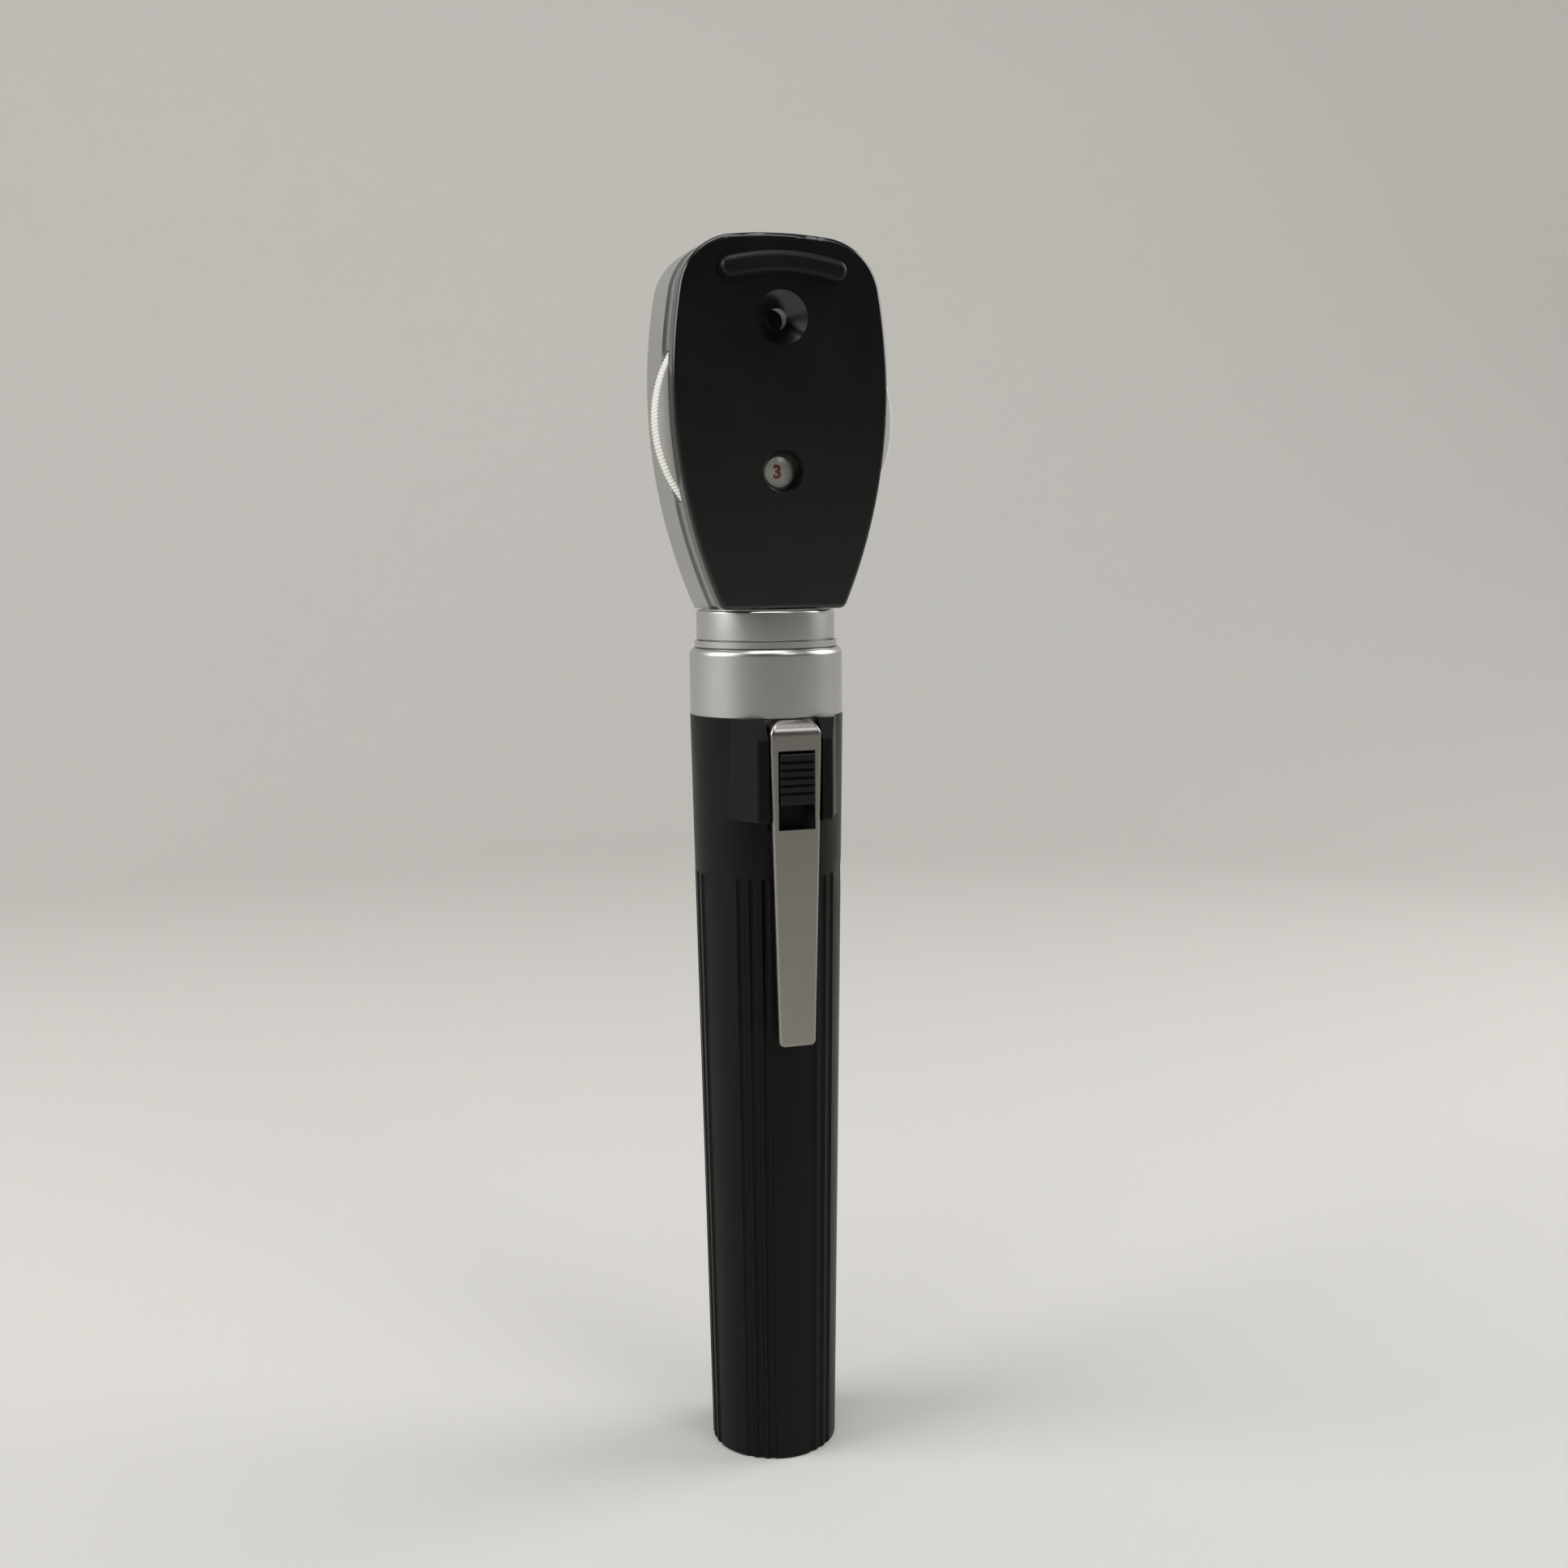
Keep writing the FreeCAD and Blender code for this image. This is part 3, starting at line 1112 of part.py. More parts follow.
def make_front_casing():
    """The satin metal casing: a bowed shell, open towards the examiner, with posts, ribs and openings."""
    body = new_body("front_casing")
    front = -size.casing_front
    inner_front = front + size.casing_wall
    head_slab(body, "shell", 0, front, size.lip_depth)

    def front_edge(edge):
        return at_depth(front)(edge) and not near(edge.BoundBox.ZMax, HEAD_BASE.value)
    blend(body, "Fillet", "front_round", front_edge, size.casing_round)
    head_slab(body, "lip", size.lip_inset, size.lip_depth, PLATE_BACK)
    head_slab(body, "hollow", LIP_RING, inner_front, PLATE_BACK + MARGIN, pocket)

    posts = new_sketch(body, "posts", "XZ_Plane", inner_front - size.casing_wall / 2)
    for x, z in SCREWS:
        add_circle(posts, x, z, size.post_radius)
    pad(body, posts, POST_END - inner_front + size.casing_wall / 2)
    holes = new_sketch(body, "screw_holes", "XZ_Plane", front - MARGIN)
    for x, z in SCREWS:
        add_circle(holes, x, z, size.screw_radius + size.slip)
    pocket(body, holes, POST_END - front + MARGIN * 2, reverse=True)
    heads = new_sketch(body, "head_recesses", "XZ_Plane", front - MARGIN)
    for x, z in SCREWS:
        add_circle(heads, x, z, size.screw_head_radius + size.side_gap)
    pocket(body, heads, MARGIN + size.screw_head_radius, reverse=True)

    centre = size.aperture_circle - size.beam_depth
    half = size.rib_half_width
    rib_rear = centre - size.aperture_axle - size.gap
    low_rib = APERTURE_Z - size.side_gap - size.casing_wall
    high_rib = APERTURE_Z + size.aperture_thickness + size.side_gap
    for name, low in (("low", low_rib), ("high", high_rib)):
        rib = new_sketch(body, f"rib_{name}", "XY_Plane", low)
        add_rectangle(rib, (-half, rib_rear), (half, -inner_front + MARGIN / 2))
        pad(body, rib, size.casing_wall)
        hole = new_sketch(body, f"rib_{name}_hole", "XY_Plane", low - MARGIN / 4)
        add_circle(hole, 0, centre, size.aperture_axle + size.slip)
        pocket(body, hole, size.casing_wall + MARGIN / 2, reverse=True)

    slot = new_sketch(body, "aperture_slot", "XZ_Plane", front - MARGIN)
    slot_half = size.aperture_radius - size.side_gap
    add_rectangle(
        slot,
        (-slot_half, APERTURE_Z - size.side_gap),
        (slot_half, APERTURE_Z + size.aperture_thickness + size.side_gap))
    pocket(body, slot, size.casing_wall + MARGIN * 2, reverse=True)

    wheel = new_sketch(body, "wheel_slot", "XZ_Plane", WHEEL_BACK - size.side_gap)
    add_circle(wheel, 0, WHEEL_Z, size.wheel_radius + size.side_gap)
    pocket(body, wheel, PLATE_FACE, reverse=True)

    cone_cut(body, "window", WINDOW_Z, [
        (front - MARGIN, 0),
        (front - MARGIN, size.window_radius + size.slip),
        (front + size.window_recess, size.window_radius + size.slip),
        (front + size.window_recess, size.window_opening),
        (inner_front + MARGIN, size.window_opening),
        (inner_front + MARGIN, 0)])

    neck = new_sketch(body, "neck_hole", "XY_Plane", HEAD_BASE - MARGIN)
    add_circle(neck, 0, 0, size.stem_radius + size.slip)
    pocket(body, neck, size.casing_wall + MARGIN * 2, reverse=True)
    return body


def make_back_plate():
    """The glossy back plate with the sight hole, the number window and the bosses for the screws."""
    body = new_body("back_plate")
    head_slab(body, "plate", 0, PLATE_BACK, PLATE_FACE)
    blend(body, "Fillet", "corners", lower_corner, size.corner_round)
    blend(body, "Fillet", "face_edge", at_depth(PLATE_FACE), size.plate_edge)

    bosses = new_sketch(body, "bosses", "XZ_Plane", POST_END + size.gap)
    for x, z in SCREWS:
        add_circle(bosses, x, z, size.post_radius)
    pad(body, bosses, PLATE_BACK - POST_END - size.gap + size.slip)
    pilots = new_sketch(body, "pilots", "XZ_Plane", POST_END - MARGIN)
    for x, z in SCREWS:
        add_circle(pilots, x, z, size.screw_radius + size.slip)
    pocket(body, pilots, PLATE_BACK - POST_END + MARGIN + size.plate_thickness / 2, reverse=True)
    axle = new_sketch(body, "axle_hole", "XZ_Plane", PLATE_BACK - MARGIN)
    add_circle(axle, 0, WHEEL_Z, size.axle_radius + size.axle_play)
    pocket(body, axle, MARGIN + BLIND_DEPTH, reverse=True)
    click = new_sketch(body, "click_hole", "XZ_Plane", PLATE_BACK - MARGIN)
    add_circle(click, size.track_radius, WHEEL_Z, size.ball_radius + size.gap)
    pocket(body, click, MARGIN + BLIND_DEPTH, reverse=True)

    face = PLATE_FACE
    cone_cut(body, "sight", SIGHT_Z, [
        (face + MARGIN, 0),
        (face + MARGIN, size.sight_rim),
        (face, size.sight_rim),
        (face - size.plate_thickness * size.sight_share, size.sight_radius),
        (PLATE_BACK - MARGIN, size.sight_radius),
        (PLATE_BACK - MARGIN, 0)])
    seat = size.index_radius + size.lip_inset
    cone_cut(body, "index", INDEX_Z, [
        (face + MARGIN, 0),
        (face + MARGIN, size.index_rim),
        (face, size.index_rim),
        (face - size.plate_thickness * size.index_share, seat),
        (face - BLIND_DEPTH, seat),
        (face - BLIND_DEPTH, size.index_radius),
        (PLATE_BACK - MARGIN, size.index_radius),
        (PLATE_BACK - MARGIN, 0)])
    return body


def make_brow_rest():
    """The soft crescent that keeps the examiner's brow off the plate."""
    body = new_body("brow_rest")
    sketch = new_sketch(body, "crescent", "XZ_Plane", PLATE_FACE)
    centre_z = REST_CENTRE_Z - size.rest_radius
    outer = size.rest_radius + size.rest_width / 2
    inner = size.rest_radius - size.rest_width / 2
    spread = math.radians(size.rest_half_angle.value)
    low = math.pi / 2 - spread
    high = math.pi / 2 + spread
    up = FreeCAD.Vector(0, 0, 1)
    centre = vector(0, centre_z)
    top = sketch.addGeometry(Part.ArcOfCircle(Part.Circle(centre, up, outer.value), low, high), False)
    under = sketch.addGeometry(Part.ArcOfCircle(Part.Circle(centre, up, inner.value), low, high), False)

    def end_point(radius, side):
        across = radius * sine(size.rest_half_angle) * side
        return across, centre_z + radius * cosine(size.rest_half_angle)
    ends = []
    for side in (1, -1):
        ends.append(sketch.addGeometry(Part.LineSegment(
            vector(*end_point(outer, side)), vector(*end_point(inner, side))), False))
    for item, radius in ((top, outer), (under, inner)):
        fix_point(sketch, item, 3, 0, centre_z)
        index = sketch.addConstraint(Sketcher.Constraint("Radius", item, radius.value))
        bind(sketch, f"Constraints[{index}]", radius)
    for number, (line, side) in enumerate(zip(ends, (1, -1)), start=1):
        sketch.addConstraint(Sketcher.Constraint("Coincident", line, 1, top, number))
        sketch.addConstraint(Sketcher.Constraint("Coincident", line, 2, under, number))
        fix_coordinate(sketch, "DistanceX", -2, line, 1, end_point(outer, side)[0])
        fix_coordinate(sketch, "DistanceX", -2, line, 2, end_point(inner, side)[0])
    pad(body, sketch, size.rest_height)

    def end_edge(edge):
        box = edge.BoundBox
        return box.XLength < CLOSE and box.ZLength < CLOSE
    blend(body, "Fillet", "round_ends", end_edge, size.rest_end)
    blend(body, "Fillet", "soft_face", at_depth(PLATE_FACE + size.rest_height), size.rest_edge)
    return body


def make_index_window():
    """The clear domed cover of the number window."""
    radius = size.index_radius + size.lip_inset - size.slip
    low = PLATE_FACE - BLIND_DEPTH + size.slip
    body = turned_lens("index_window", radius, low, size.index_sheet, size.index_dome)
    face_examiner(body, INDEX_Z)
    return body


def make_casing_screws():
    """Three cross-head screws that pull the back plate onto the casing."""
    screws = []
    seat = size.casing_front - size.screw_head_radius
    tip = -(PLATE_BACK + size.plate_thickness / 2 - size.side_gap)
    head_height = size.screw_head_height
    long_side = size.cross_length
    short_side = size.cross_width
    bars = {"across": (long_side, short_side), "upright": (short_side, long_side)}
    for number, (x, z) in enumerate(SCREWS, start=1):
        shank = doc.addObject("Part::Cylinder", f"screw_shank_{number}")
        bind(shank, "Radius", size.screw_radius)
        bind(shank, "Height", seat - tip)
        place(shank, x=x, y=seat, z=z, axis=(1, 0, 0), angle=90)
        head = doc.addObject("Part::Cylinder", f"screw_head_{number}")
        bind(head, "Radius", size.screw_head_radius)
        bind(head, "Height", head_height)
        place(head, x=x, y=seat + head_height, z=z, axis=(1, 0, 0), angle=90)
        blank = doc.addObject("Part::Fuse", f"screw_blank_{number}")
        blank.Base = shank
        blank.Tool = head
        recess = blank
        for way, (wide, tall) in bars.items():
            bar = doc.addObject("Part::Box", f"screw_{way}_{number}")
            bind(bar, "Length", wide)
            bind(bar, "Width", head_height)
            bind(bar, "Height", tall)
            place(bar, x=x - wide / 2, y=seat + head_height / 2, z=z - tall / 2)
            cut = doc.addObject("Part::Cut", f"screw_cut_{way}_{number}")
            cut.Base = recess
            cut.Tool = bar
            recess = cut
        screws.append(recess)
    group = doc.addObject("Part::Compound", "casing_screws")
    group.Label = "casing_screws"
    group.Links = screws
    NODES.append(group)
    return group


# ---------------------------------------------------------------- lens wheel

WEB_BACK = WHEEL_FACE - size.wheel_web


def make_lens_wheel():
    """The white wheel: knurled rim, numbered face, a circle of lens holes and a click track."""
    rim_inner = size.wheel_radius - size.wheel_rim
    chamfer = size.wheel_edge
    body = turned_body("lens_wheel", [
        (size.axle_radius + size.axle_play, WEB_BACK),
        (rim_inner, WEB_BACK),
        (rim_inner, WHEEL_BACK),
        (size.wheel_radius - chamfer, WHEEL_BACK),
        (size.wheel_radius, WHEEL_BACK + chamfer),
        (size.wheel_radius, WHEEL_FACE - chamfer),
        (size.wheel_radius - chamfer, WHEEL_FACE),
        (size.axle_radius + size.axle_play, WHEEL_FACE)])
    inner = size.track_radius - size.track_half
    outer = size.track_radius + size.track_half
    bore_out(body, "track", [
        (inner, WHEEL_FACE + MARGIN),
        (inner, WHEEL_FACE - size.track_depth),
        (outer, WHEEL_FACE - size.track_depth),
        (outer, WHEEL_FACE + MARGIN)])
    hole = new_sketch(body, "lens_hole", "XY_Plane", WEB_BACK - MARGIN)
    add_circle(hole, 0, LENS_CIRCLE, size.lens_radius)
    holes = pocket(body, hole, size.wheel_web + MARGIN * 2, reverse=True)
    dimple = new_sketch(body, "dimple", "XY_Plane", WHEEL_FACE - size.dimple_depth)
    add_circle(dimple, size.track_radius, 0, size.ball_radius / 2)
    dimples = pocket(body, dimple, MARGIN, reverse=True)
    polar_pattern(body, "positions", [holes, dimples], size.lens_count)
    face_examiner(body, WHEEL_Z)
    return body


def make_wheel_lenses():
    """The wheel's lenses as separate discs. One position is left open."""
    lenses = []
    count = int(size.lens_count.value)
    for number in range(1, count):
        lens = doc.addObject("Part::Cylinder", f"wheel_lens_{number}")
        bind(lens, "Radius", size.lens_radius - size.slip)
        bind(lens, "Height", size.lens_thickness)
        angle = number * (as_size(360) / size.lens_count)
        place(
            lens,
            x=LENS_CIRCLE * sine(angle),
            y=-(WEB_BACK + (size.wheel_web - size.lens_thickness) / 2),
            z=WHEEL_Z + LENS_CIRCLE * cosine(angle),
            axis=(1, 0, 0),
            angle=90)
        lenses.append(lens)
    group = doc.addObject("Part::Compound", "wheel_lenses")
    group.Label = "wheel_lenses"
    group.Links = lenses
    NODES.append(group)
    return group


def make_wheel_axle():
    """The shouldered pin that the lens wheel turns on. It is pressed into the back plate."""
    tip = PLATE_BACK + BLIND_DEPTH - size.gap
    head_top = WEB_BACK - size.gap
    head_low = head_top - size.axle_head_height
    body = turned_body("wheel_axle", [
        (0, head_low),
        (size.axle_head, head_low),
        (size.axle_head, head_top),
        (size.axle_radius, head_top),
        (size.axle_radius, tip),
        (0, tip)])
    face_examiner(body, WHEEL_Z)
    return body


def make_click_ball():
    """The steel ball that drops into the wheel's dimples."""
    ball = doc.addObject("Part::Sphere", "click_ball")
    ball.Label = "click_ball"
    bind(ball, "Radius", size.ball_radius)
    proud = WHEEL_FACE - size.track_depth + size.slip
    place(ball, x=size.track_radius, y=-(proud + size.ball_radius), z=WHEEL_Z)
    NODES.append(ball)
    return ball


# ---------------------------------------------------------------- optics

BEAM_Y = -size.beam_depth


def offset_turned(label, corners):
    """A piece turned about the optic axis."""
    body = turned_body(label, corners)
    place(body, y=BEAM_Y)
    return body


def make_optics_tube():
    """The blackened tube from lamp to mirror, with a slot for the aperture wheel."""
    flange = size.stem_bore
    body = offset_turned("optics_tube", [
        (size.tube_bore, STEM_TOP),
        (flange, STEM_TOP),
        (flange, STEM_TOP + size.thin_wall),
        (size.tube_radius, STEM_TOP + size.thin_wall),
        (size.tube_radius, TUBE_TOP),
        (size.tube_bore, TUBE_TOP)])
    slot = new_sketch(body, "slot", "YZ_Plane")
    wheel_rear = size.aperture_circle - size.aperture_radius - size.side_gap
    add_rectangle(
        slot,
        (wheel_rear, APERTURE_Z - size.side_gap),
        (size.tube_radius + MARGIN, APERTURE_Z + size.aperture_thickness + size.side_gap))
    pocket(body, slot, size.tube_radius * 2 + MARGIN, both_ways=True)
    return body


def turned_lens(label, radius, low, edge, crown):
    """A lens or dome turned about Z: a flat foot, a straight edge and a spherical top."""
    body = new_body(label)
    sketch = new_sketch(body, "section")
    flat = sketch.addGeometry(Part.LineSegment(vector(0, low), vector(radius, low)), False)
    rim = sketch.addGeometry(Part.LineSegment(vector(radius, low), vector(radius, low + edge)), False)
    sphere = (radius * radius + crown * crown) / (crown * 2)
    centre_z = low + edge + crown - sphere
    circle = Part.Circle(vector(0, centre_z), FreeCAD.Vector(0, 0, 1), sphere.value)
    start = math.atan2((low + edge - centre_z).value, radius.value)
    dome = sketch.addGeometry(Part.ArcOfCircle(circle, start, math.pi / 2), False)
    axis = sketch.addGeometry(Part.LineSegment(vector(0, low + edge + crown), vector(0, low)), False)
    fix_point(sketch, flat, 1, 0, low)
    fix_point(sketch, rim, 1, radius, low)
    fix_point(sketch, rim, 2, radius, low + edge)
    fix_point(sketch, dome, 2, 0, low + edge + crown)
    sketch.addConstraint(Sketcher.Constraint("Coincident", flat, 2, rim, 1))
    sketch.addConstraint(Sketcher.Constraint("Coincident", rim, 2, dome, 1))
    sketch.addConstraint(Sketcher.Constraint("Coincident", dome, 2, axis, 1))
    sketch.addConstraint(Sketcher.Constraint("Coincident", axis, 2, flat, 1))
    sketch.addConstraint(Sketcher.Constraint("PointOnObject", dome, 3, -2))
    turn(body, "Revolution", sketch)
    return body


def make_lens(label, low, crown):
    """A plano-convex lens in the optics tube."""
    body = turned_lens(label, size.tube_bore - size.slip, low, size.optic_edge, crown)
    place(body, y=BEAM_Y)
    return body


def make_mirror_mount():
    """The block on top of the tube that holds the mirror at 45 degrees between two cheeks."""
    body = new_body("mirror_mount")
    rear = -size.tube_radius + size.gap
    lean = size.mirror_thickness * math.sqrt(2)
    top = SIGHT_Z - size.sight_radius - size.side_gap
    cheek = size.thin_wall
    front = size.tube_radius + cheek
    block = new_sketch(body, "block", "YZ_Plane")
    add_polygon(block, [
        (rear, TUBE_TOP),
        (rear, top),
        (top - MIRROR_Z - lean, top),
        (front, MIRROR_Z),
        (front, TUBE_TOP)])
    pad(body, block, (size.mirror_half_width + cheek) * 2, both_ways=True)
    room = new_sketch(body, "mirror_room", "YZ_Plane")
    sill = TUBE_TOP + size.casing_wall
    back = -size.tube_bore
    add_polygon(room, [
        (back, sill),
        (front + MARGIN, sill),
        (front + MARGIN, top + MARGIN),
        (top + MARGIN - MIRROR_Z - lean, top + MARGIN),
        (back, MIRROR_Z + lean + back)])
    pocket(body, room, (size.mirror_half_width + size.slip) * 2, both_ways=True)
    light = new_sketch(body, "light_hole", "XY_Plane", TUBE_TOP - MARGIN)
    add_circle(light, 0, 0, size.tube_bore)
    pocket(body, light, size.casing_wall + MARGIN * 2, reverse=True)
    place(body, y=BEAM_Y)
    return body


def make_mirror():
    """The slip of mirror glass that turns the beam towards the patient."""
    mirror = doc.addObject("Part::Box", "mirror")
    mirror.Label = "mirror"
    bind(mirror, "Length", size.mirror_half_width * 2)
    bind(mirror, "Width", size.mirror_length)
    bind(mirror, "Height", size.mirror_thickness - size.slip)
    run = size.mirror_length / 2 * math.sqrt(0.5)
    place(
        mirror, x=-size.mirror_half_width, y=BEAM_Y - run, z=MIRROR_Z - run, axis=(1, 0, 0), angle=45)
    NODES.append(mirror)
    return mirror


def make_aperture_wheel():
    """The black thumb wheel that sticks out of the casing's front and carries the apertures."""
    top = APERTURE_Z + size.aperture_thickness
    recess = top - size.disc_room
    hub = size.aperture_axle + size.axle_play
    plate_radius = size.aperture_radius - size.thin_wall + size.slip
    body = turned_body("aperture_wheel", [
        (hub, APERTURE_Z),
        (size.aperture_radius, APERTURE_Z),
        (size.aperture_radius, top),
        (plate_radius, top),
        (plate_radius, recess),
        (hub, recess)])
    hole = new_sketch(body, "hole", "XY_Plane", APERTURE_Z - MARGIN)
    add_circle(hole, 0, -size.aperture_circle, size.aperture_hole)
    holes = pocket(body, hole, size.aperture_thickness + MARGIN * 2, reverse=True)
    polar_pattern(body, "holes", [holes], size.aperture_count)
    place(body, y=BEAM_Y + size.aperture_circle)
    return body


# Openings of the aperture disc, as shares of a light hole: three round spots, then a half spot and a slit.
ROUND_SPOTS = (1.0, 0.6, 0.3)
BAR_SPOTS = (0.5, 0.12)
BAR_LENGTH = 0.8


def make_aperture_disc():
    """The thin metal disc with the large, medium and small spots, the half spot and the slit."""
    low = APERTURE_Z + size.aperture_thickness - size.disc_room + size.slip
    hub = size.aperture_axle + size.axle_play
    radius = size.aperture_radius - size.thin_wall - size.slip
    thick = size.disc_room - size.gap
    body = turned_body("aperture_disc", [
        (hub, low), (radius, low), (radius, low + thick), (hub, low + thick)])
    step = as_size(360) / size.aperture_count

    def opening(index):
        angle = step * index
        return size.aperture_circle * sine(angle), -size.aperture_circle * cosine(angle)
    spots = new_sketch(body, "spots", "XY_Plane", low - MARGIN)
    for index, share in enumerate(ROUND_SPOTS):
        x, y = opening(index)
        add_circle(spots, x, y, size.aperture_hole * share)
    half_tall = size.aperture_hole * BAR_LENGTH
    for index, share in enumerate(BAR_SPOTS, start=len(ROUND_SPOTS)):
        x, y = opening(index)
        half = size.aperture_hole * share
        add_rectangle(spots, (x - half, y - half_tall), (x + half, y + half_tall))
    pocket(body, spots, thick + MARGIN * 2, reverse=True)
    place(body, y=BEAM_Y + size.aperture_circle)
    return body


def make_green_filter():
    """The red-free filter glass under the medium spot."""
    glass = doc.addObject("Part::Cylinder", "green_filter")
    glass.Label = "green_filter"
    bind(glass, "Radius", size.aperture_hole - size.slip)
    bind(glass, "Height", size.aperture_thickness / 2)
    angle = as_size(360) / size.aperture_count
    place(
        glass,
        x=size.aperture_circle * sine(angle),
        y=BEAM_Y + size.aperture_circle - size.aperture_circle * cosine(angle),
        z=APERTURE_Z + size.gap)
    NODES.append(glass)
    return glass


def make_aperture_axle():
    """The pin between the casing's two ribs that the aperture wheel turns on."""
    reach = size.casing_wall + size.side_gap
    low = APERTURE_Z - reach
    high = APERTURE_Z + size.aperture_thickness + reach
    body = turned_body("aperture_axle", [
        (0, low), (size.aperture_axle, low), (size.aperture_axle, high), (0, high)])
    place(body, y=BEAM_Y + size.aperture_circle)
    return body


def make_front_window():
    """The flat glass that keeps dust out of the casing."""
    rear = -size.casing_front + size.window_recess - size.slip
    front = rear - size.window_sheet
    body = turned_body("front_window", [
        (0, front), (size.window_radius, front), (size.window_radius, rear), (0, rear)])
    face_examiner(body, WINDOW_Z)
    return body


def make_window_bezel():
    """The black ring that holds the front window in."""
    rear = -size.casing_front + size.window_recess - size.window_sheet - size.slip * 2
    front = rear - size.bezel_height
    inner = size.window_opening + size.side_gap
    body = turned_body("window_bezel", [
        (inner, front), (size.window_radius, front), (size.window_radius, rear), (inner, rear)])
    face_examiner(body, WINDOW_Z)
    return body


# ---------------------------------------------------------------- the whole instrument

def make_instrument():
    """Every sub-part, from the foot up."""
    make_handle_tube()
    make_bottom_contact()
    coil_spring(
        "bottom_spring",
        size.floor_thickness + size.contact_sheet,
        size.spring_room,
        size.spring_radius,
        size.spring_wire,
        size.spring_cone)
    make_contact_strip()
    make_cell("battery_lower", 0)
    make_cell("battery_upper", 1)
    make_neck_sleeve()
    make_pocket_clip()
    make_switch_slider()
    make_switch_contact()

    make_neck_washer()
    make_head_collar()
    make_collar_nut()
    make_contact_carrier()
    make_centre_contact()
    coil_spring("contact_spring", PIN_TOP, LAMP_LOW - PIN_TOP, size.blade_half_width, size.fine_wire)
    make_lamp_socket()
    make_lamp_base()
    make_lamp_bulb()
    make_lamp_filament()

    make_front_casing()
    make_back_plate()
    make_brow_rest()
    make_index_window()
    make_casing_screws()
    make_lens_wheel()
    make_wheel_lenses()
    make_wheel_axle()
    make_click_ball()

    make_optics_tube()
    make_lens("condenser_lens", BULB_TOP + size.thin_wall, size.condenser_crown)
    make_lens("objective_lens", TUBE_TOP - size.casing_wall * 2, size.objective_crown)
    make_mirror_mount()
    make_mirror()
    make_aperture_wheel()
    make_aperture_disc()
    make_green_filter()
    make_aperture_axle()
    make_front_window()
    make_window_bezel()


def check_and_write():
    """Stops at any failed feature or empty shape, then writes one STEP file for each sub-part."""
    doc.recompute()
    for item in doc.Objects:
        if {"Invalid", "Error"} & set(item.State):
            raise RuntimeError(f"{item.Name} failed: {item.State}")
    for node in NODES:
        if node.Shape.isNull() or not node.Shape.isValid():
            raise RuntimeError(f"{node.Label} has no valid shape")
    os.makedirs("parts", exist_ok=True)
    for node in NODES:
        node.Shape.exportStep(f"parts/{node.Label}.step")
        print(node.Label, round(node.Shape.Volume, 2), "mm3,", len(node.Shape.Solids), "solid(s)")


make_instrument()
check_and_write()
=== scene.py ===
"""Looks of a hand-held direct ophthalmoscope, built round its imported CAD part.

All lengths are in metres in the part's own frame: +Z runs up the handle, the origin is the
centre of the flat foot and -Y faces the examiner. CAD nodes stay where they are and get their
finishes here. The pieces whose surface needs more detail than the CAD part holds (knurled
wheels, a thread and printed numbers) are made here and ride on its bodies.
"""

import logging
import math
from collections.abc import Callable, Mapping, Sequence
from dataclasses import dataclass, field
from enum import Enum
from typing import Any

import bmesh
import bpy
from mathutils import Matrix, Vector


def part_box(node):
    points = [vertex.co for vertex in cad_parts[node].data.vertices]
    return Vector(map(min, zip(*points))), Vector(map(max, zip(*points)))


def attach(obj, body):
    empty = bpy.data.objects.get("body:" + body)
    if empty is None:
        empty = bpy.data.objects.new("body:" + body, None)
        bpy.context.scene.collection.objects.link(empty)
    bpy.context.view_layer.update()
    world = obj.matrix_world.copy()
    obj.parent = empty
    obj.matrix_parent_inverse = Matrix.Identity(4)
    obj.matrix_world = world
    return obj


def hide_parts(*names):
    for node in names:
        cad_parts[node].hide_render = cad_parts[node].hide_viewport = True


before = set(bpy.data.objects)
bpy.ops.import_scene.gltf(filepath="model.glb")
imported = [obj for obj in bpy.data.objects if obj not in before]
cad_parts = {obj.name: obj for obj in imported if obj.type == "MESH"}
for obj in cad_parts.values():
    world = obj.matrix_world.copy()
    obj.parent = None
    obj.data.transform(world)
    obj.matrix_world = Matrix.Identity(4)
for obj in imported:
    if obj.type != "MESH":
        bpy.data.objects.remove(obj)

LOG = logging.getLogger("ophthalmoscope")
MM = 0.001
FULL_TURN = 2.0 * math.pi
QUARTER_TURN = FULL_TURN / 4.0

# Points of a piece nearer to each other than this are one point.
MERGE_DISTANCE = 1e-7
# Neighbouring faces that meet at more than this angle share a sharp edge.
SHARP_ANGLE = math.radians(32.0)
# Nearly all values of a noise texture lie between these two.
NOISE_LOW = 0.3
NOISE_HIGH = 0.7
# Sockets of a colour mix: its two colours going in, and the colour coming out.
MIX_FIRST = 6
MIX_SECOND = 7
MIX_RESULT = 2

Section = Sequence[tuple[float, float]]
RadiusRule = Callable[[float, float, float], float]


# ------------------------------------------------------------------ finishes


class Slot(Enum):
    """Material slots of the CAD part's record."""

    HANDLE = "handle_plastic"
    GLOSS = "black_gloss_plastic"
    MATTE = "black_matte_plastic"
    WHITE = "white_plastic"
    REST = "soft_rest"
    CASING = "satin_aluminium"
    NICKEL = "satin_nickel"
    CLIP = "spring_steel"
    STEEL = "steel"
    BRASS = "brass"
    CELL = "cell_jacket"
    BLACKENED = "blackened_aluminium"
    GLASS = "clear_glass"
    WINDOW = "clear_plastic"
    FILTER = "green_glass"
    MIRROR = "mirror_glass"


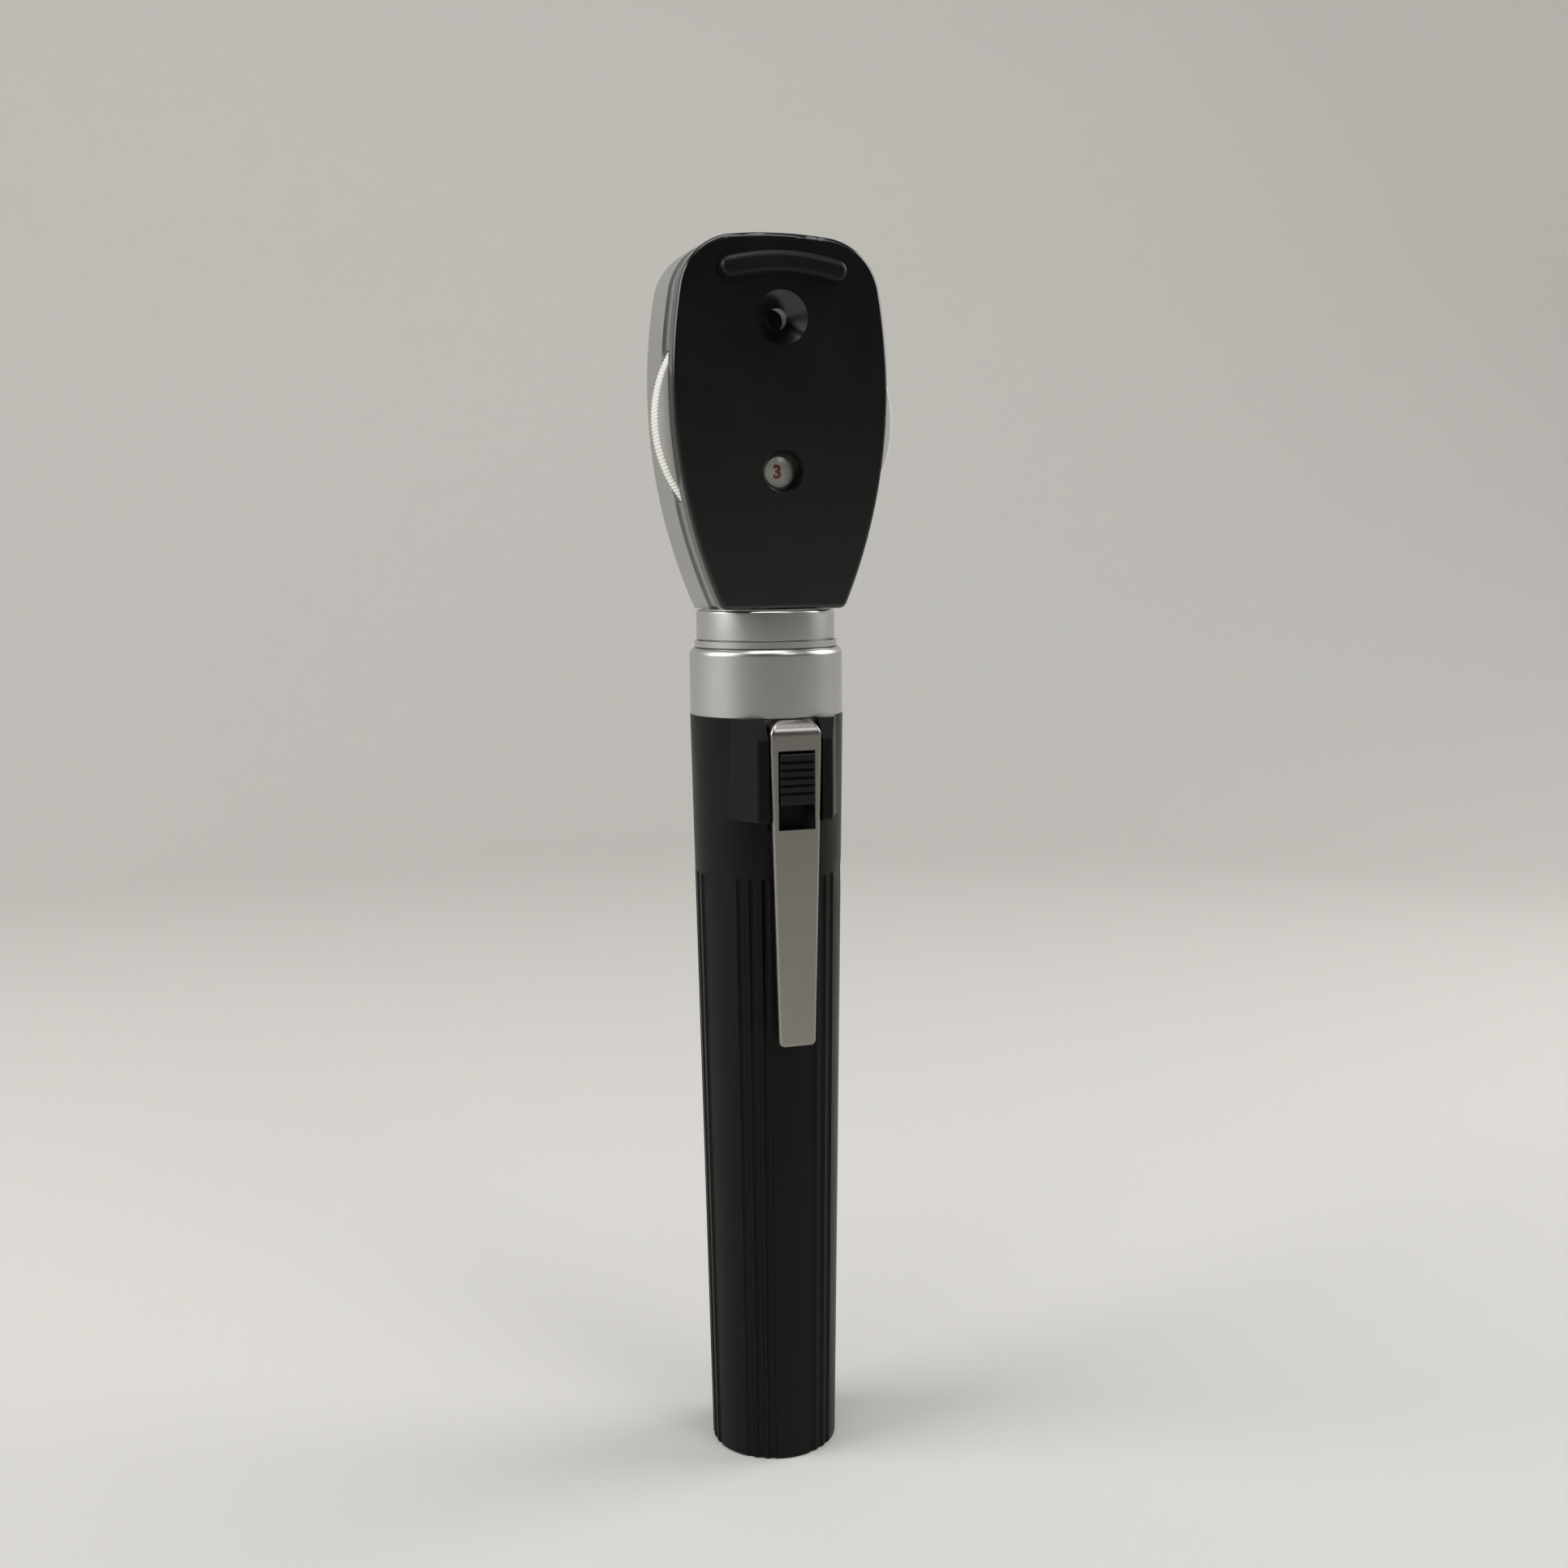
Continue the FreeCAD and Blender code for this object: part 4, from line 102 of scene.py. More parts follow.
def linear_colour(code: str) -> tuple[float, float, float, float]:
    """Turns an sRGB colour code into linear light.

    Args:
        code: Six hexadecimal digits after a hash sign.

    Returns:
        Red, green and blue in linear light, and an alpha of one.
    """
    channels = []
    for start in (1, 3, 5):
        value = int(code[start : start + 2], 16) / 255.0
        # The sRGB curve: straight near black, a power above.
        channels.append(value / 12.92 if value <= 0.04045 else ((value + 0.055) / 1.055) ** 2.4)
    return channels[0], channels[1], channels[2], 1.0


def add_node(
    tree: bpy.types.NodeTree,
    kind: str,
    settings: Mapping[str, Any] | None = None,
    inputs: Mapping[str | int, Any] | None = None,
) -> bpy.types.Node:
    """Adds one shader node with its settings, plain values and links.

    Args:
        tree: The node tree that gets the node.
        kind: Blender's name for the node type.
        settings: Attributes to set on the node.
        inputs: Socket name or number to a plain value, or to the output socket that feeds it.

    Returns:
        The new node.
    """
    node = tree.nodes.new(kind)
    for name, value in (settings or {}).items():
        setattr(node, name, value)
    for name, value in (inputs or {}).items():
        if isinstance(value, bpy.types.NodeSocket):
            tree.links.new(value, node.inputs[name])
        else:
            node.inputs[name].default_value = value
    return node


@dataclass(frozen=True)
class Finish:
    """An opaque finish: a base colour with patches, a grain and a roughness that varies.

    Args:
        name: Material and process.
        colour: Base colour as an sRGB code.
        patch_colour: Colour of the faint patches, as an sRGB code.
        metallic: One for bare metal.
        roughness: Mean roughness.
        roughness_spread: How far the roughness strays from its mean.
        patch_mm: Size of the patches.
        grain_mm: Size of the grain along each axis.
        grain_height_mm: Height of the grain.
        shine: Share of light that the surface itself mirrors; a half is plain plastic.
        coat: Weight of a clear polished layer.
        coat_roughness: Roughness of that layer.
        lathe_mm: Pitch of turning lines round Z, or zero for none.
    """

    name: str
    colour: str
    patch_colour: str
    metallic: float = 0.0
    roughness: float = 0.5
    roughness_spread: float = 0.08
    patch_mm: float = 14.0
    grain_mm: tuple[float, float, float] = (0.3, 0.3, 0.3)
    grain_height_mm: float = 0.004
    shine: float = 0.5
    coat: float = 0.0
    coat_roughness: float = 0.04
    lathe_mm: float = 0.0

    def build(self) -> bpy.types.Material:
        """Makes the material.

        Returns:
            The finished material.
        """
        material = bpy.data.materials.new(self.name)
        material.use_nodes = True
        tree = material.node_tree
        tree.nodes.clear()
        place = add_node(tree, "ShaderNodeTexCoord").outputs["Object"]
        patches = add_node(
            tree,
            "ShaderNodeTexNoise",
            inputs={
                "Vector": place,
                "Scale": 1.0 / (self.patch_mm * MM),
                "Detail": 5.0,
                "Roughness": 0.6,
            },
        ).outputs[0]
        colour = add_node(
            tree,
            "ShaderNodeMix",
            {"data_type": "RGBA"},
            {
                0: patches,
                MIX_FIRST: linear_colour(self.colour),
                MIX_SECOND: linear_colour(self.patch_colour),
            },
        ).outputs[MIX_RESULT]
        rough = add_node(
            tree,
            "ShaderNodeMapRange",
            inputs={
                "Value": patches,
                "From Min": NOISE_LOW,
                "From Max": NOISE_HIGH,
                "To Min": self.roughness - self.roughness_spread,
                "To Max": self.roughness + self.roughness_spread,
            },
        ).outputs[0]
        shader = add_node(
            tree,
            "ShaderNodeBsdfPrincipled",
            inputs={
                "Base Color": colour,
                "Metallic": self.metallic,
                "Roughness": rough,
                "Specular IOR Level": self.shine,
                "Coat Weight": self.coat,
                "Coat Roughness": self.coat_roughness,
                "Normal": self._grain(tree, place),
            },
        )
        add_node(tree, "ShaderNodeOutputMaterial", inputs={"Surface": shader.outputs[0]})
        return material

    def _grain(self, tree: bpy.types.NodeTree, place: bpy.types.NodeSocket) -> bpy.types.NodeSocket:
        """Adds the grain and any turning lines as a bump.

        Args:
            tree: The material's node tree.
            place: Coordinates in the part's frame.

        Returns:
            The bumped normal.
        """
        scale = tuple(1.0 / (length * MM) for length in self.grain_mm)
        spread = add_node(tree, "ShaderNodeMapping", inputs={"Vector": place, "Scale": scale})
        height = add_node(
            tree,
            "ShaderNodeTexNoise",
            inputs={"Vector": spread.outputs[0], "Scale": 1.0, "Detail": 3.0},
        ).outputs[0]
        if self.lathe_mm:
            lines = add_node(
                tree,
                "ShaderNodeTexNoise",
                {"noise_dimensions": "1D"},
                {
                    "W": self._height_above_foot(tree, place),
                    "Scale": 1.0 / (self.lathe_mm * MM),
                    "Detail": 2.0,
                },
            ).outputs[0]
            both = add_node(tree, "ShaderNodeMath", {"operation": "ADD"}, {0: height, 1: lines})
            height = both.outputs[0]
        bump = add_node(
            tree,
            "ShaderNodeBump",
            inputs={"Height": height, "Distance": self.grain_height_mm * MM, "Strength": 1.0},
        )
        return bump.outputs[0]

    @staticmethod
    def _height_above_foot(
        tree: bpy.types.NodeTree, place: bpy.types.NodeSocket
    ) -> bpy.types.NodeSocket:
        """Takes Z out of the coordinates.

        Args:
            tree: The material's node tree.
            place: Coordinates in the part's frame.

        Returns:
            The height above the foot.
        """
        return add_node(tree, "ShaderNodeSeparateXYZ", inputs={0: place}).outputs["Z"]


@dataclass(frozen=True)
class ClearFinish:
    """A thin clear finish: light goes straight through and a share is mirrored at the surface.

    Args:
        name: Material and process.
        tint: Colour of the light that goes through, as an sRGB code.
        index: Index of refraction, which sets how much is mirrored.
        roughness: Roughness of the mirrored share.
        smear_mm: Size of the faint smears on the surface.
        smear_gain: How many times rougher a smear is.
    """

    name: str
    tint: str
    index: float = 1.5
    roughness: float = 0.03
    smear_mm: float = 3.0
    smear_gain: float = 3.0

    def build(self) -> bpy.types.Material:
        """Makes the material.

        Returns:
            The finished material.
        """
        material = bpy.data.materials.new(self.name)
        material.use_nodes = True
        tree = material.node_tree
        tree.nodes.clear()
        place = add_node(tree, "ShaderNodeTexCoord").outputs["Object"]
        smears = add_node(
            tree,
            "ShaderNodeTexNoise",
            inputs={"Vector": place, "Scale": 1.0 / (self.smear_mm * MM), "Detail": 4.0},
        ).outputs[0]
        rough = add_node(
            tree,
            "ShaderNodeMapRange",
            inputs={
                "Value": smears,
                "To Min": self.roughness,
                "To Max": self.roughness * self.smear_gain,
            },
        ).outputs[0]
        tint = linear_colour(self.tint)
        through = add_node(tree, "ShaderNodeBsdfTransparent", inputs={"Color": tint})
        mirrored = add_node(tree, "ShaderNodeBsdfGlossy", inputs={"Roughness": rough})
        share = add_node(tree, "ShaderNodeFresnel", inputs={"IOR": self.index})
        mixed = add_node(
            tree,
            "ShaderNodeMixShader",
            inputs={0: share.outputs[0], 1: through.outputs[0], 2: mirrored.outputs[0]},
        )
        add_node(tree, "ShaderNodeOutputMaterial", inputs={"Surface": mixed.outputs[0]})
        return material


FINISHES: Mapping[Slot, Finish | ClearFinish] = {
    # Injection-moulded ABS from a spark-eroded mould: fine even grain, dull shine.
    Slot.HANDLE: Finish(
        "abs_black_spark_eroded",
        "#0b0c0d",
        "#111213",
        roughness=0.4,
        roughness_spread=0.05,
        grain_mm=(0.22, 0.22, 0.22),
        grain_height_mm=0.005,
        shine=0.15,
    ),
    # ABS from a polished mould: deep gloss with faint handling smears.
    Slot.GLOSS: Finish(
        "abs_black_mirror_moulded",
        "#070808",
        "#0c0d0d",
        roughness=0.2,
        roughness_spread=0.05,
        patch_mm=9.0,
        grain_mm=(6.0, 6.0, 6.0),
        grain_height_mm=0.006,
        coat=0.3,
        coat_roughness=0.12,
    ),
    # Glass-filled nylon, moulded and left matt: dull, with a slightly coarse skin.
    Slot.MATTE: Finish(
        "nylon_black_matt_moulded",
        "#0b0c0d",
        "#101112",
        roughness=0.45,
        shine=0.3,
        grain_mm=(0.18, 0.18, 0.18),
        grain_height_mm=0.006,
    ),
    # Acetal, moulded white: a waxy half-gloss, slightly soiled by fingers.
    Slot.WHITE: Finish(
        "acetal_white_moulded",
        "#efeee9",
        "#e3e2dc",
        roughness=0.42,
        patch_mm=5.0,
        grain_mm=(0.4, 0.4, 0.4),
        grain_height_mm=0.003,
    ),
    # Thermoplastic elastomer, moulded satin: a soft broad sheen.
    Slot.REST: Finish(
        "elastomer_black_satin_moulded",
        "#070808",
        "#0c0d0d",
        roughness=0.42,
        shine=0.25,
        grain_mm=(0.25, 0.25, 0.25),
        grain_height_mm=0.004,
    ),
    # Cast aluminium, bead blasted and clear anodised: a fine sparkle and a soft reflection.
    Slot.CASING: Finish(
        "aluminium_bead_blasted_anodised",
        "#b9bab9",
        "#adaead",
        metallic=1.0,
        roughness=0.42,
        grain_mm=(0.14, 0.14, 0.14),
        grain_height_mm=0.006,
    ),
    # Turned brass with a satin nickel plate: faint rings that streak the reflection upright.
    Slot.NICKEL: Finish(
        "nickel_plate_satin_turned",
        "#c6c6c4",
        "#b8b8b6",
        metallic=1.0,
        roughness=0.34,
        grain_mm=(0.2, 0.2, 0.2),
        grain_height_mm=0.0025,
        lathe_mm=0.12,
    ),
    # Spring steel strip, tumbled and nickel plated: a smooth sheen with the strip's long grain.
    Slot.CLIP: Finish(
        "spring_steel_tumbled_nickel_plate",
        "#9d9a95",
        "#93908b",
        metallic=1.0,
        roughness=0.3,
        grain_mm=(0.16, 0.16, 0.9),
        grain_height_mm=0.004,
    ),
    # Free-cutting steel, turned and oiled: cool and bright, with darker stains.
    Slot.STEEL: Finish(
        "steel_turned_oiled",
        "#9d9fa2",
        "#85878a",
        metallic=1.0,
        roughness=0.3,
        patch_mm=3.0,
        grain_height_mm=0.003,
    ),
    # Brass, turned and left bare: yellow, with rings and dull patches.
    Slot.BRASS: Finish(
        "brass_turned_bare",
        "#c9a45c",
        "#a98443",
        metallic=1.0,
        roughness=0.3,
        patch_mm=4.0,
        grain_height_mm=0.003,
        lathe_mm=0.1,
    ),
    # Shrunk film over a steel can: smooth dark gloss.
    Slot.CELL: Finish("film_shrunk_dark_grey", "#26282b", "#1d1f22", roughness=0.28, patch_mm=20.0),
    # Aluminium, turned and black anodised: it swallows stray light.
    Slot.BLACKENED: Finish(
        "aluminium_black_anodised", "#141415", "#1b1b1c", metallic=0.6, roughness=0.5, lathe_mm=0.1
    ),
    # Front-silvered glass: a clean, nearly perfect mirror.
    Slot.MIRROR: Finish(
        "glass_front_silvered",
        "#eceeee",
        "#e6e8e8",
        metallic=1.0,
        roughness=0.03,
        roughness_spread=0.01,
        grain_height_mm=0.0002,
    ),
    # Optical glass, ground and polished: clear, with a sharp reflection.
    Slot.GLASS: ClearFinish("glass_ground_polished", "#f3f7f5", index=1.52),
    # Acrylic, moulded clear: a softer reflection than glass.
    Slot.WINDOW: ClearFinish("acrylic_clear_moulded", "#fdfdfc", index=1.46, roughness=0.05),
    # Green filter glass, ground and polished: it tints what lies behind it.
    Slot.FILTER: ClearFinish("filter_glass_green_polished", "#3fae6a", index=1.52),
}

# Pad-printed inks: slightly uneven and dull.
INK_BLACK = Finish("ink_black_pad_printed", "#171717", "#242424", roughness=0.6, patch_mm=0.6)
INK_RED = Finish("ink_red_pad_printed", "#8f2f22", "#a54232", roughness=0.6, patch_mm=0.6)


@dataclass(frozen=True)
class BoardFinish:
    """Pale matt paint, grey on the wall in front, so that metal has something to mirror.

    Args:
        name: Material and process.
        pale: Colour of the floor and of the wall behind, as an sRGB code.
        grey: Colour of the wall in front, as an sRGB code.
        near: How far in front the grey begins, in metres.
        far: How far in front it is full, in metres.
        low: Height at which the floor's pale colour begins to give way, in metres.
        high: Height at which it has given way, in metres.
        roughness: Mean roughness of the paint.
        roughness_spread: How far the roughness strays from its mean.
        patch: Size of the faint patches, in metres.
    """

    name: str = "board_painted_matt"
    pale: str = "#d3d1cc"
    grey: str = "#525353"
    near: float = 0.05
    far: float = 0.45
    low: float = 0.0
    high: float = 0.3
    roughness: float = 0.7
    roughness_spread: float = 0.05
    patch: float = 0.16

    def build(self) -> bpy.types.Material:
        """Makes the material.

        Returns:
            The finished material.
        """
        material = bpy.data.materials.new(self.name)
        material.use_nodes = True
        tree = material.node_tree
        tree.nodes.clear()
        place = add_node(tree, "ShaderNodeTexCoord").outputs["Object"]
        axes = add_node(tree, "ShaderNodeSeparateXYZ", inputs={0: place})
        ahead = self._ramp(tree, axes.outputs["Y"], -self.near, -self.far)
        above = self._ramp(tree, axes.outputs["Z"], self.low, self.high)
        share = add_node(
            tree, "ShaderNodeMath", {"operation": "MULTIPLY"}, {0: ahead, 1: above}
        ).outputs[0]
        colour = add_node(
            tree,
            "ShaderNodeMix",
            {"data_type": "RGBA"},
            {
                0: share,
                MIX_FIRST: linear_colour(self.pale),
                MIX_SECOND: linear_colour(self.grey),
            },
        ).outputs[MIX_RESULT]
        patches = add_node(
            tree,
            "ShaderNodeTexNoise",
            inputs={"Vector": place, "Scale": 1.0 / self.patch, "Detail": 4.0},
        ).outputs[0]
        rough = add_node(
            tree,
            "ShaderNodeMapRange",
            inputs={
                "Value": patches,
                "To Min": self.roughness - self.roughness_spread,
                "To Max": self.roughness + self.roughness_spread,
            },
        ).outputs[0]
        shader = add_node(
            tree, "ShaderNodeBsdfPrincipled", inputs={"Base Color": colour, "Roughness": rough}
        )
        add_node(tree, "ShaderNodeOutputMaterial", inputs={"Surface": shader.outputs[0]})
        return material

    @staticmethod
    def _ramp(
        tree: bpy.types.NodeTree, value: bpy.types.NodeSocket, start: float, end: float
    ) -> bpy.types.NodeSocket:
        """Adds a smooth step from zero to one.

        Args:
            tree: The material's node tree.
            value: What the step follows.
            start: Where the step is zero.
            end: Where it is one.

        Returns:
            The step.
        """
        return add_node(
            tree,
            "ShaderNodeMapRange",
            {"interpolation_type": "SMOOTHSTEP"},
            {"Value": value, "From Min": start, "From Max": end},
        ).outputs[0]


# ------------------------------------------------------------------ mesh tools


def piece_from(
    mesh: bmesh.types.BMesh, name: str, material: bpy.types.Material
) -> bpy.types.Object:
    """Turns a bmesh into a smooth-shaded piece at the origin.

    Args:
        mesh: The geometry, in the part's frame. It is freed.
        name: Name of the piece.
        material: Its finish.

    Returns:
        The new object.
    """
    bmesh.ops.recalc_face_normals(mesh, faces=mesh.faces)
    data = bpy.data.meshes.new(name)
    mesh.to_mesh(data)
    mesh.free()
    data.materials.append(material)
    piece = bpy.data.objects.new(name, data)
    bpy.context.scene.collection.objects.link(piece)
    for polygon in data.polygons:
        polygon.use_smooth = True
    data.set_sharp_from_angle(angle=SHARP_ANGLE)
    return piece


def spun(section: Section, steps: int, rule: RadiusRule | None = None) -> bmesh.types.BMesh:
    """Spins a closed section of (radius, height) round Z and lets a rule shift its points.

    Args:
        section: Corners of the section, in metres.
        steps: Divisions of the full turn.
        rule: Takes radius, height and angle, and returns the new radius.

    Returns:
        The spun mesh.
    """
    mesh = bmesh.new()
    corners = [mesh.verts.new((radius, 0.0, height)) for radius, height in section]
    edges = [mesh.edges.new((corner, corners[index - 1])) for index, corner in enumerate(corners)]
    bmesh.ops.spin(
        mesh,
        geom=corners + edges,
        cent=(0.0, 0.0, 0.0),
        axis=(0.0, 0.0, 1.0),
        angle=FULL_TURN,
        steps=steps,
        use_merge=True,
    )
    bmesh.ops.remove_doubles(mesh, verts=mesh.verts, dist=MERGE_DISTANCE)
    if rule:
        for vertex in mesh.verts:
            radius = math.hypot(vertex.co.x, vertex.co.y)
            if radius > 0.0:
                angle = math.atan2(vertex.co.y, vertex.co.x)
                scale = rule(radius, vertex.co.z, angle) / radius
                vertex.co.x *= scale
                vertex.co.y *= scale
    return mesh


def stepped(
    low: tuple[float, float], high: tuple[float, float], count: int
) -> list[tuple[float, float]]:
    """Splits a straight stretch of a section into even steps, without its last point.

    Args:
        low: First point.
        high: Last point.
        count: How many steps.

    Returns:
        The points from the first up to the one before the last.
    """
    points = []
    for index in range(count):
        share = index / count
        points.append((low[0] + (high[0] - low[0]) * share, low[1] + (high[1] - low[1]) * share))
    return points


def rounded_corner(
    x: float, z: float, radius: float, count: int = 6
) -> list[tuple[float, float]]:
    """Points of a rounded top outer corner of a section.

    Args:
        x: Radius of the rounding's centre.
        z: Height of the rounding's centre.
        radius: Radius of the rounding.
        count: How many steps.

    Returns:
        The points from the outside to the top.
    """
    points = []
    for index in range(count + 1):
        angle = QUARTER_TURN * index / count
        points.append((x + radius * math.cos(angle), z + radius * math.sin(angle)))
    return points


def evaluated_mesh(holder: bpy.types.Object) -> bpy.types.Mesh:
    """Makes a mesh of an object as its modifiers leave it, or of a text as it is set.

    Args:
        holder: The object to read.

    Returns:
        A new mesh that no object uses yet.
    """
    bpy.context.view_layer.update()
    graph = bpy.context.evaluated_depsgraph_get()
    return bpy.data.meshes.new_from_object(holder.evaluated_get(graph))


def drilled(
    blank: bmesh.types.BMesh, drills: bmesh.types.BMesh, material: bpy.types.Material
) -> bmesh.types.BMesh:
    """Takes the volume of some drills out of a blank.

    Args:
        blank: Closed geometry. It is freed.
        drills: Closed geometry in the same frame. It is freed.
        material: Finish of both.

    Returns:
        The blank with its holes.
    """
    work = piece_from(blank, "blank", material)
    tool = piece_from(drills, "drills", material)
    modifier = work.modifiers.new("holes", "BOOLEAN")
    modifier.operation = "DIFFERENCE"
    modifier.solver = "EXACT"
    modifier.object = tool
    result = bmesh.new()
    result.from_mesh(evaluated_mesh(work))
    bpy.data.objects.remove(work)
    bpy.data.objects.remove(tool)
    return result


def ring_of_cylinders(
    count: int,
    circle: float,
    radius: float,
    low: float,
    high: float,
    start: float,
    segments: int = 40,
) -> bmesh.types.BMesh:
    """Makes evenly spaced upright cylinders on a circle round Z.

    Args:
        count: How many.
        circle: Radius of the circle.
        radius: Radius of each cylinder.
        low: Height of the lower ends.
        high: Height of the upper ends.
        start: Angle of the first one, in radians.
        segments: Sides of each cylinder.

    Returns:
        The cylinders as one mesh.
    """
    mesh = bmesh.new()
    for index in range(count):
        angle = start + FULL_TURN * index / count
        centre = Vector((circle * math.cos(angle), circle * math.sin(angle), (low + high) / 2.0))
        bmesh.ops.create_cone(
            mesh,
            cap_ends=True,
            segments=segments,
            radius1=radius,
            radius2=radius,
            depth=high - low,
            matrix=Matrix.Translation(centre),
        )
    return mesh


def facing_examiner(mesh: bmesh.types.BMesh, centre: Vector) -> None:
    """Lays geometry made round Z on an axis that points at the examiner.

    Args:
        mesh: The geometry to move.
        centre: Where its axis goes.
    """
    turn = Matrix.Translation(centre) @ Matrix.Rotation(QUARTER_TURN, 4, "X")
    bmesh.ops.transform(mesh, matrix=turn, verts=mesh.verts)


# ------------------------------------------------------------------ sub-assemblies


@dataclass
class Knurl:
    """Ridges round a wheel's rim.

    Args:
        count: Ridges round the wheel.
        depth: How deep the grooves are.
        rim: Points at least this far out are knurled.
        divisions: Steps of the turned rim for each ridge.
    """

    count: int
    depth: float
    rim: float
    divisions: int

    @property
    def steps(self) -> int:
        """Steps of the turned rim all the way round."""
        return self.count * self.divisions

    def rule(self, radius: float, _height: float, angle: float) -> float:
        """Moves the rim in between the ridges.

        Args:
            radius: Radius of the plain rim.
            _height: Height of the point.
            angle: Angle of the point.

        Returns:
            The radius of the knurled rim.
        """
        if radius < self.rim:
            return radius
        wave = 0.5 + 0.5 * math.cos(angle * self.count)
        return radius - self.depth * (1.0 - math.sqrt(wave))


@dataclass
class LensWheel:
    """The white wheel with its knurled rim, lens holes, click track and printed numbers.

    Args:
        centre: A point on the wheel's axis, at depth zero.
        radius: Outside radius.
        face: Depth of the printed face.
        rim_back: Depth of the rim's other side.
        bore: Radius of the axle hole.
        web: Thickness of the web.
        rim_width: Width of the thick rim.
        chamfer: Bevel of the rim.
        knurled_edge: Width of the knurled rim, which takes in its bevel.
        ridges: Ridges round the rim.
        ridge_depth: Depth of the grooves between them.
        ridge_divisions: Steps of the rim for each ridge.
        track_radius: Radius of the click track.
        track_half_width: Half the width of the click track.
        track_depth: Depth of the click track.
        lens_circle: Circle of the lens holes.
        lens_radius: Radius of a lens hole.
        number_circle: Circle of the printed numbers.
        number_height: Height of a number.
        font_share: Font size over the height of its digits.
        stroke: How far each stroke is thickened to each side.
        spacing: Distance from digit to digit, as a share of the font's own.
        ink_lift: Height of the ink above the face.
        numbers: The numbers, from the one in the window, clockwise. A minus is printed red.
    """

    centre: Vector
    radius: float
    face: float
    rim_back: float
    bore: float = 1.53 * MM
    web: float = 1.8 * MM
    rim_width: float = 1.1 * MM
    chamfer: float = 0.2 * MM
    knurled_edge: float = 0.3 * MM
    ridges: int = 220
    ridge_depth: float = 0.16 * MM
    ridge_divisions: int = 6
    track_radius: float = 9.8 * MM
    track_half_width: float = 0.63 * MM
    track_depth: float = 0.3 * MM
    lens_circle: float = 12.8 * MM
    lens_radius: float = 1.5 * MM
    number_circle: float = 6.8 * MM
    number_height: float = 1.7 * MM
    font_share: float = 1.38
    stroke: float = 0.12 * MM
    spacing: float = 0.85
    ink_lift: float = 0.015 * MM
    numbers: tuple[int, ...] = (-3, -6, -10, -15, -20, 20, 15, 10, 6, 3, 1, 0)

    @classmethod
    def in_frame(cls) -> "LensWheel":
        """Takes the place and outer size of the CAD part's wheel.

        Returns:
            The wheel.
        """
        low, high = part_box("lens_wheel")
        centre = Vector((0.0, 0.0, (low.z + high.z) / 2.0))
        return cls(centre, radius=(high.x - low.x) / 2.0, face=-low.y, rim_back=-high.y)

    def build(
        self, plastic: bpy.types.Material, black: bpy.types.Material, red: bpy.types.Material
    ) -> list[bpy.types.Object]:
        """Makes the wheel and its numbers and lets them ride on the dial.

        Args:
            plastic: Finish of the wheel.
            black: Ink of the plus numbers.
            red: Ink of the minus numbers.

        Returns:
            The wheel and its two layers of ink.
        """
        rim = self.radius - self.knurled_edge
        knurl = Knurl(self.ridges, self.ridge_depth, rim, self.ridge_divisions)
        rim_inner = self.radius - self.rim_width
        web_back = self.face - self.web
        inner = self.track_radius - self.track_half_width
        outer = self.track_radius + self.track_half_width
        section = [
            (self.bore, web_back),
            (rim_inner, web_back),
            (rim_inner, self.rim_back),
            (self.radius - self.chamfer, self.rim_back),
            (self.radius, self.rim_back + self.chamfer),
            (self.radius, self.face - self.chamfer),
            (self.radius - self.chamfer, self.face),
            (outer, self.face),
            (outer, self.face - self.track_depth),
            (inner, self.face - self.track_depth),
            (inner, self.face),
            (self.bore, self.face),
        ]
        holes = ring_of_cylinders(
            len(self.numbers),
            self.lens_circle,
            self.lens_radius,
            web_back - MM,
            self.face + MM,
            QUARTER_TURN,
        )
        mesh = drilled(spun(section, knurl.steps, knurl.rule), holes, plastic)
        facing_examiner(mesh, self.centre)
        wheel = piece_from(mesh, "lens_wheel_knurled", plastic)
        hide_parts("lens_wheel")
        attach(wheel, "dial")
        return [
            wheel,
            self._print(black, [value >= 0 for value in self.numbers], "wheel_numbers_black"),
            self._print(red, [value < 0 for value in self.numbers], "wheel_numbers_red"),
        ]

    def _print(
        self, ink: bpy.types.Material, chosen: Sequence[bool], name: str
    ) -> bpy.types.Object:
        """Prints some of the numbers on the wheel's face as one thin layer.

        Args:
            ink: The ink.
            chosen: Which numbers are printed in it.
            name: Name of the piece.

        Returns:
            The layer of ink.
        """
        layer = bmesh.new()
        for index, value in enumerate(self.numbers):
            if not chosen[index]:
                continue
            text = bpy.data.curves.new(f"{name}_{index}", "FONT")
            text.body = str(abs(value))
            text.align_x = "CENTER"
            text.align_y = "CENTER"
            text.size = self.number_height * self.font_share
            text.offset = self.stroke
            text.space_character = self.spacing
            holder = bpy.data.objects.new(text.name, text)
            bpy.context.scene.collection.objects.link(holder)
            flat = evaluated_mesh(holder)
            turn = -FULL_TURN * index / len(self.numbers)
            flat.transform(
                Matrix.Translation((0.0, 0.0, self.face + self.ink_lift))
                @ Matrix.Rotation(turn, 4, "Z")
                @ Matrix.Translation((0.0, -self.number_circle, 0.0))
            )
            layer.from_mesh(flat)
            bpy.data.objects.remove(holder)
            bpy.data.curves.remove(text)
        facing_examiner(layer, self.centre)
        piece = piece_from(layer, name, ink)
        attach(piece, "dial")
        return piece


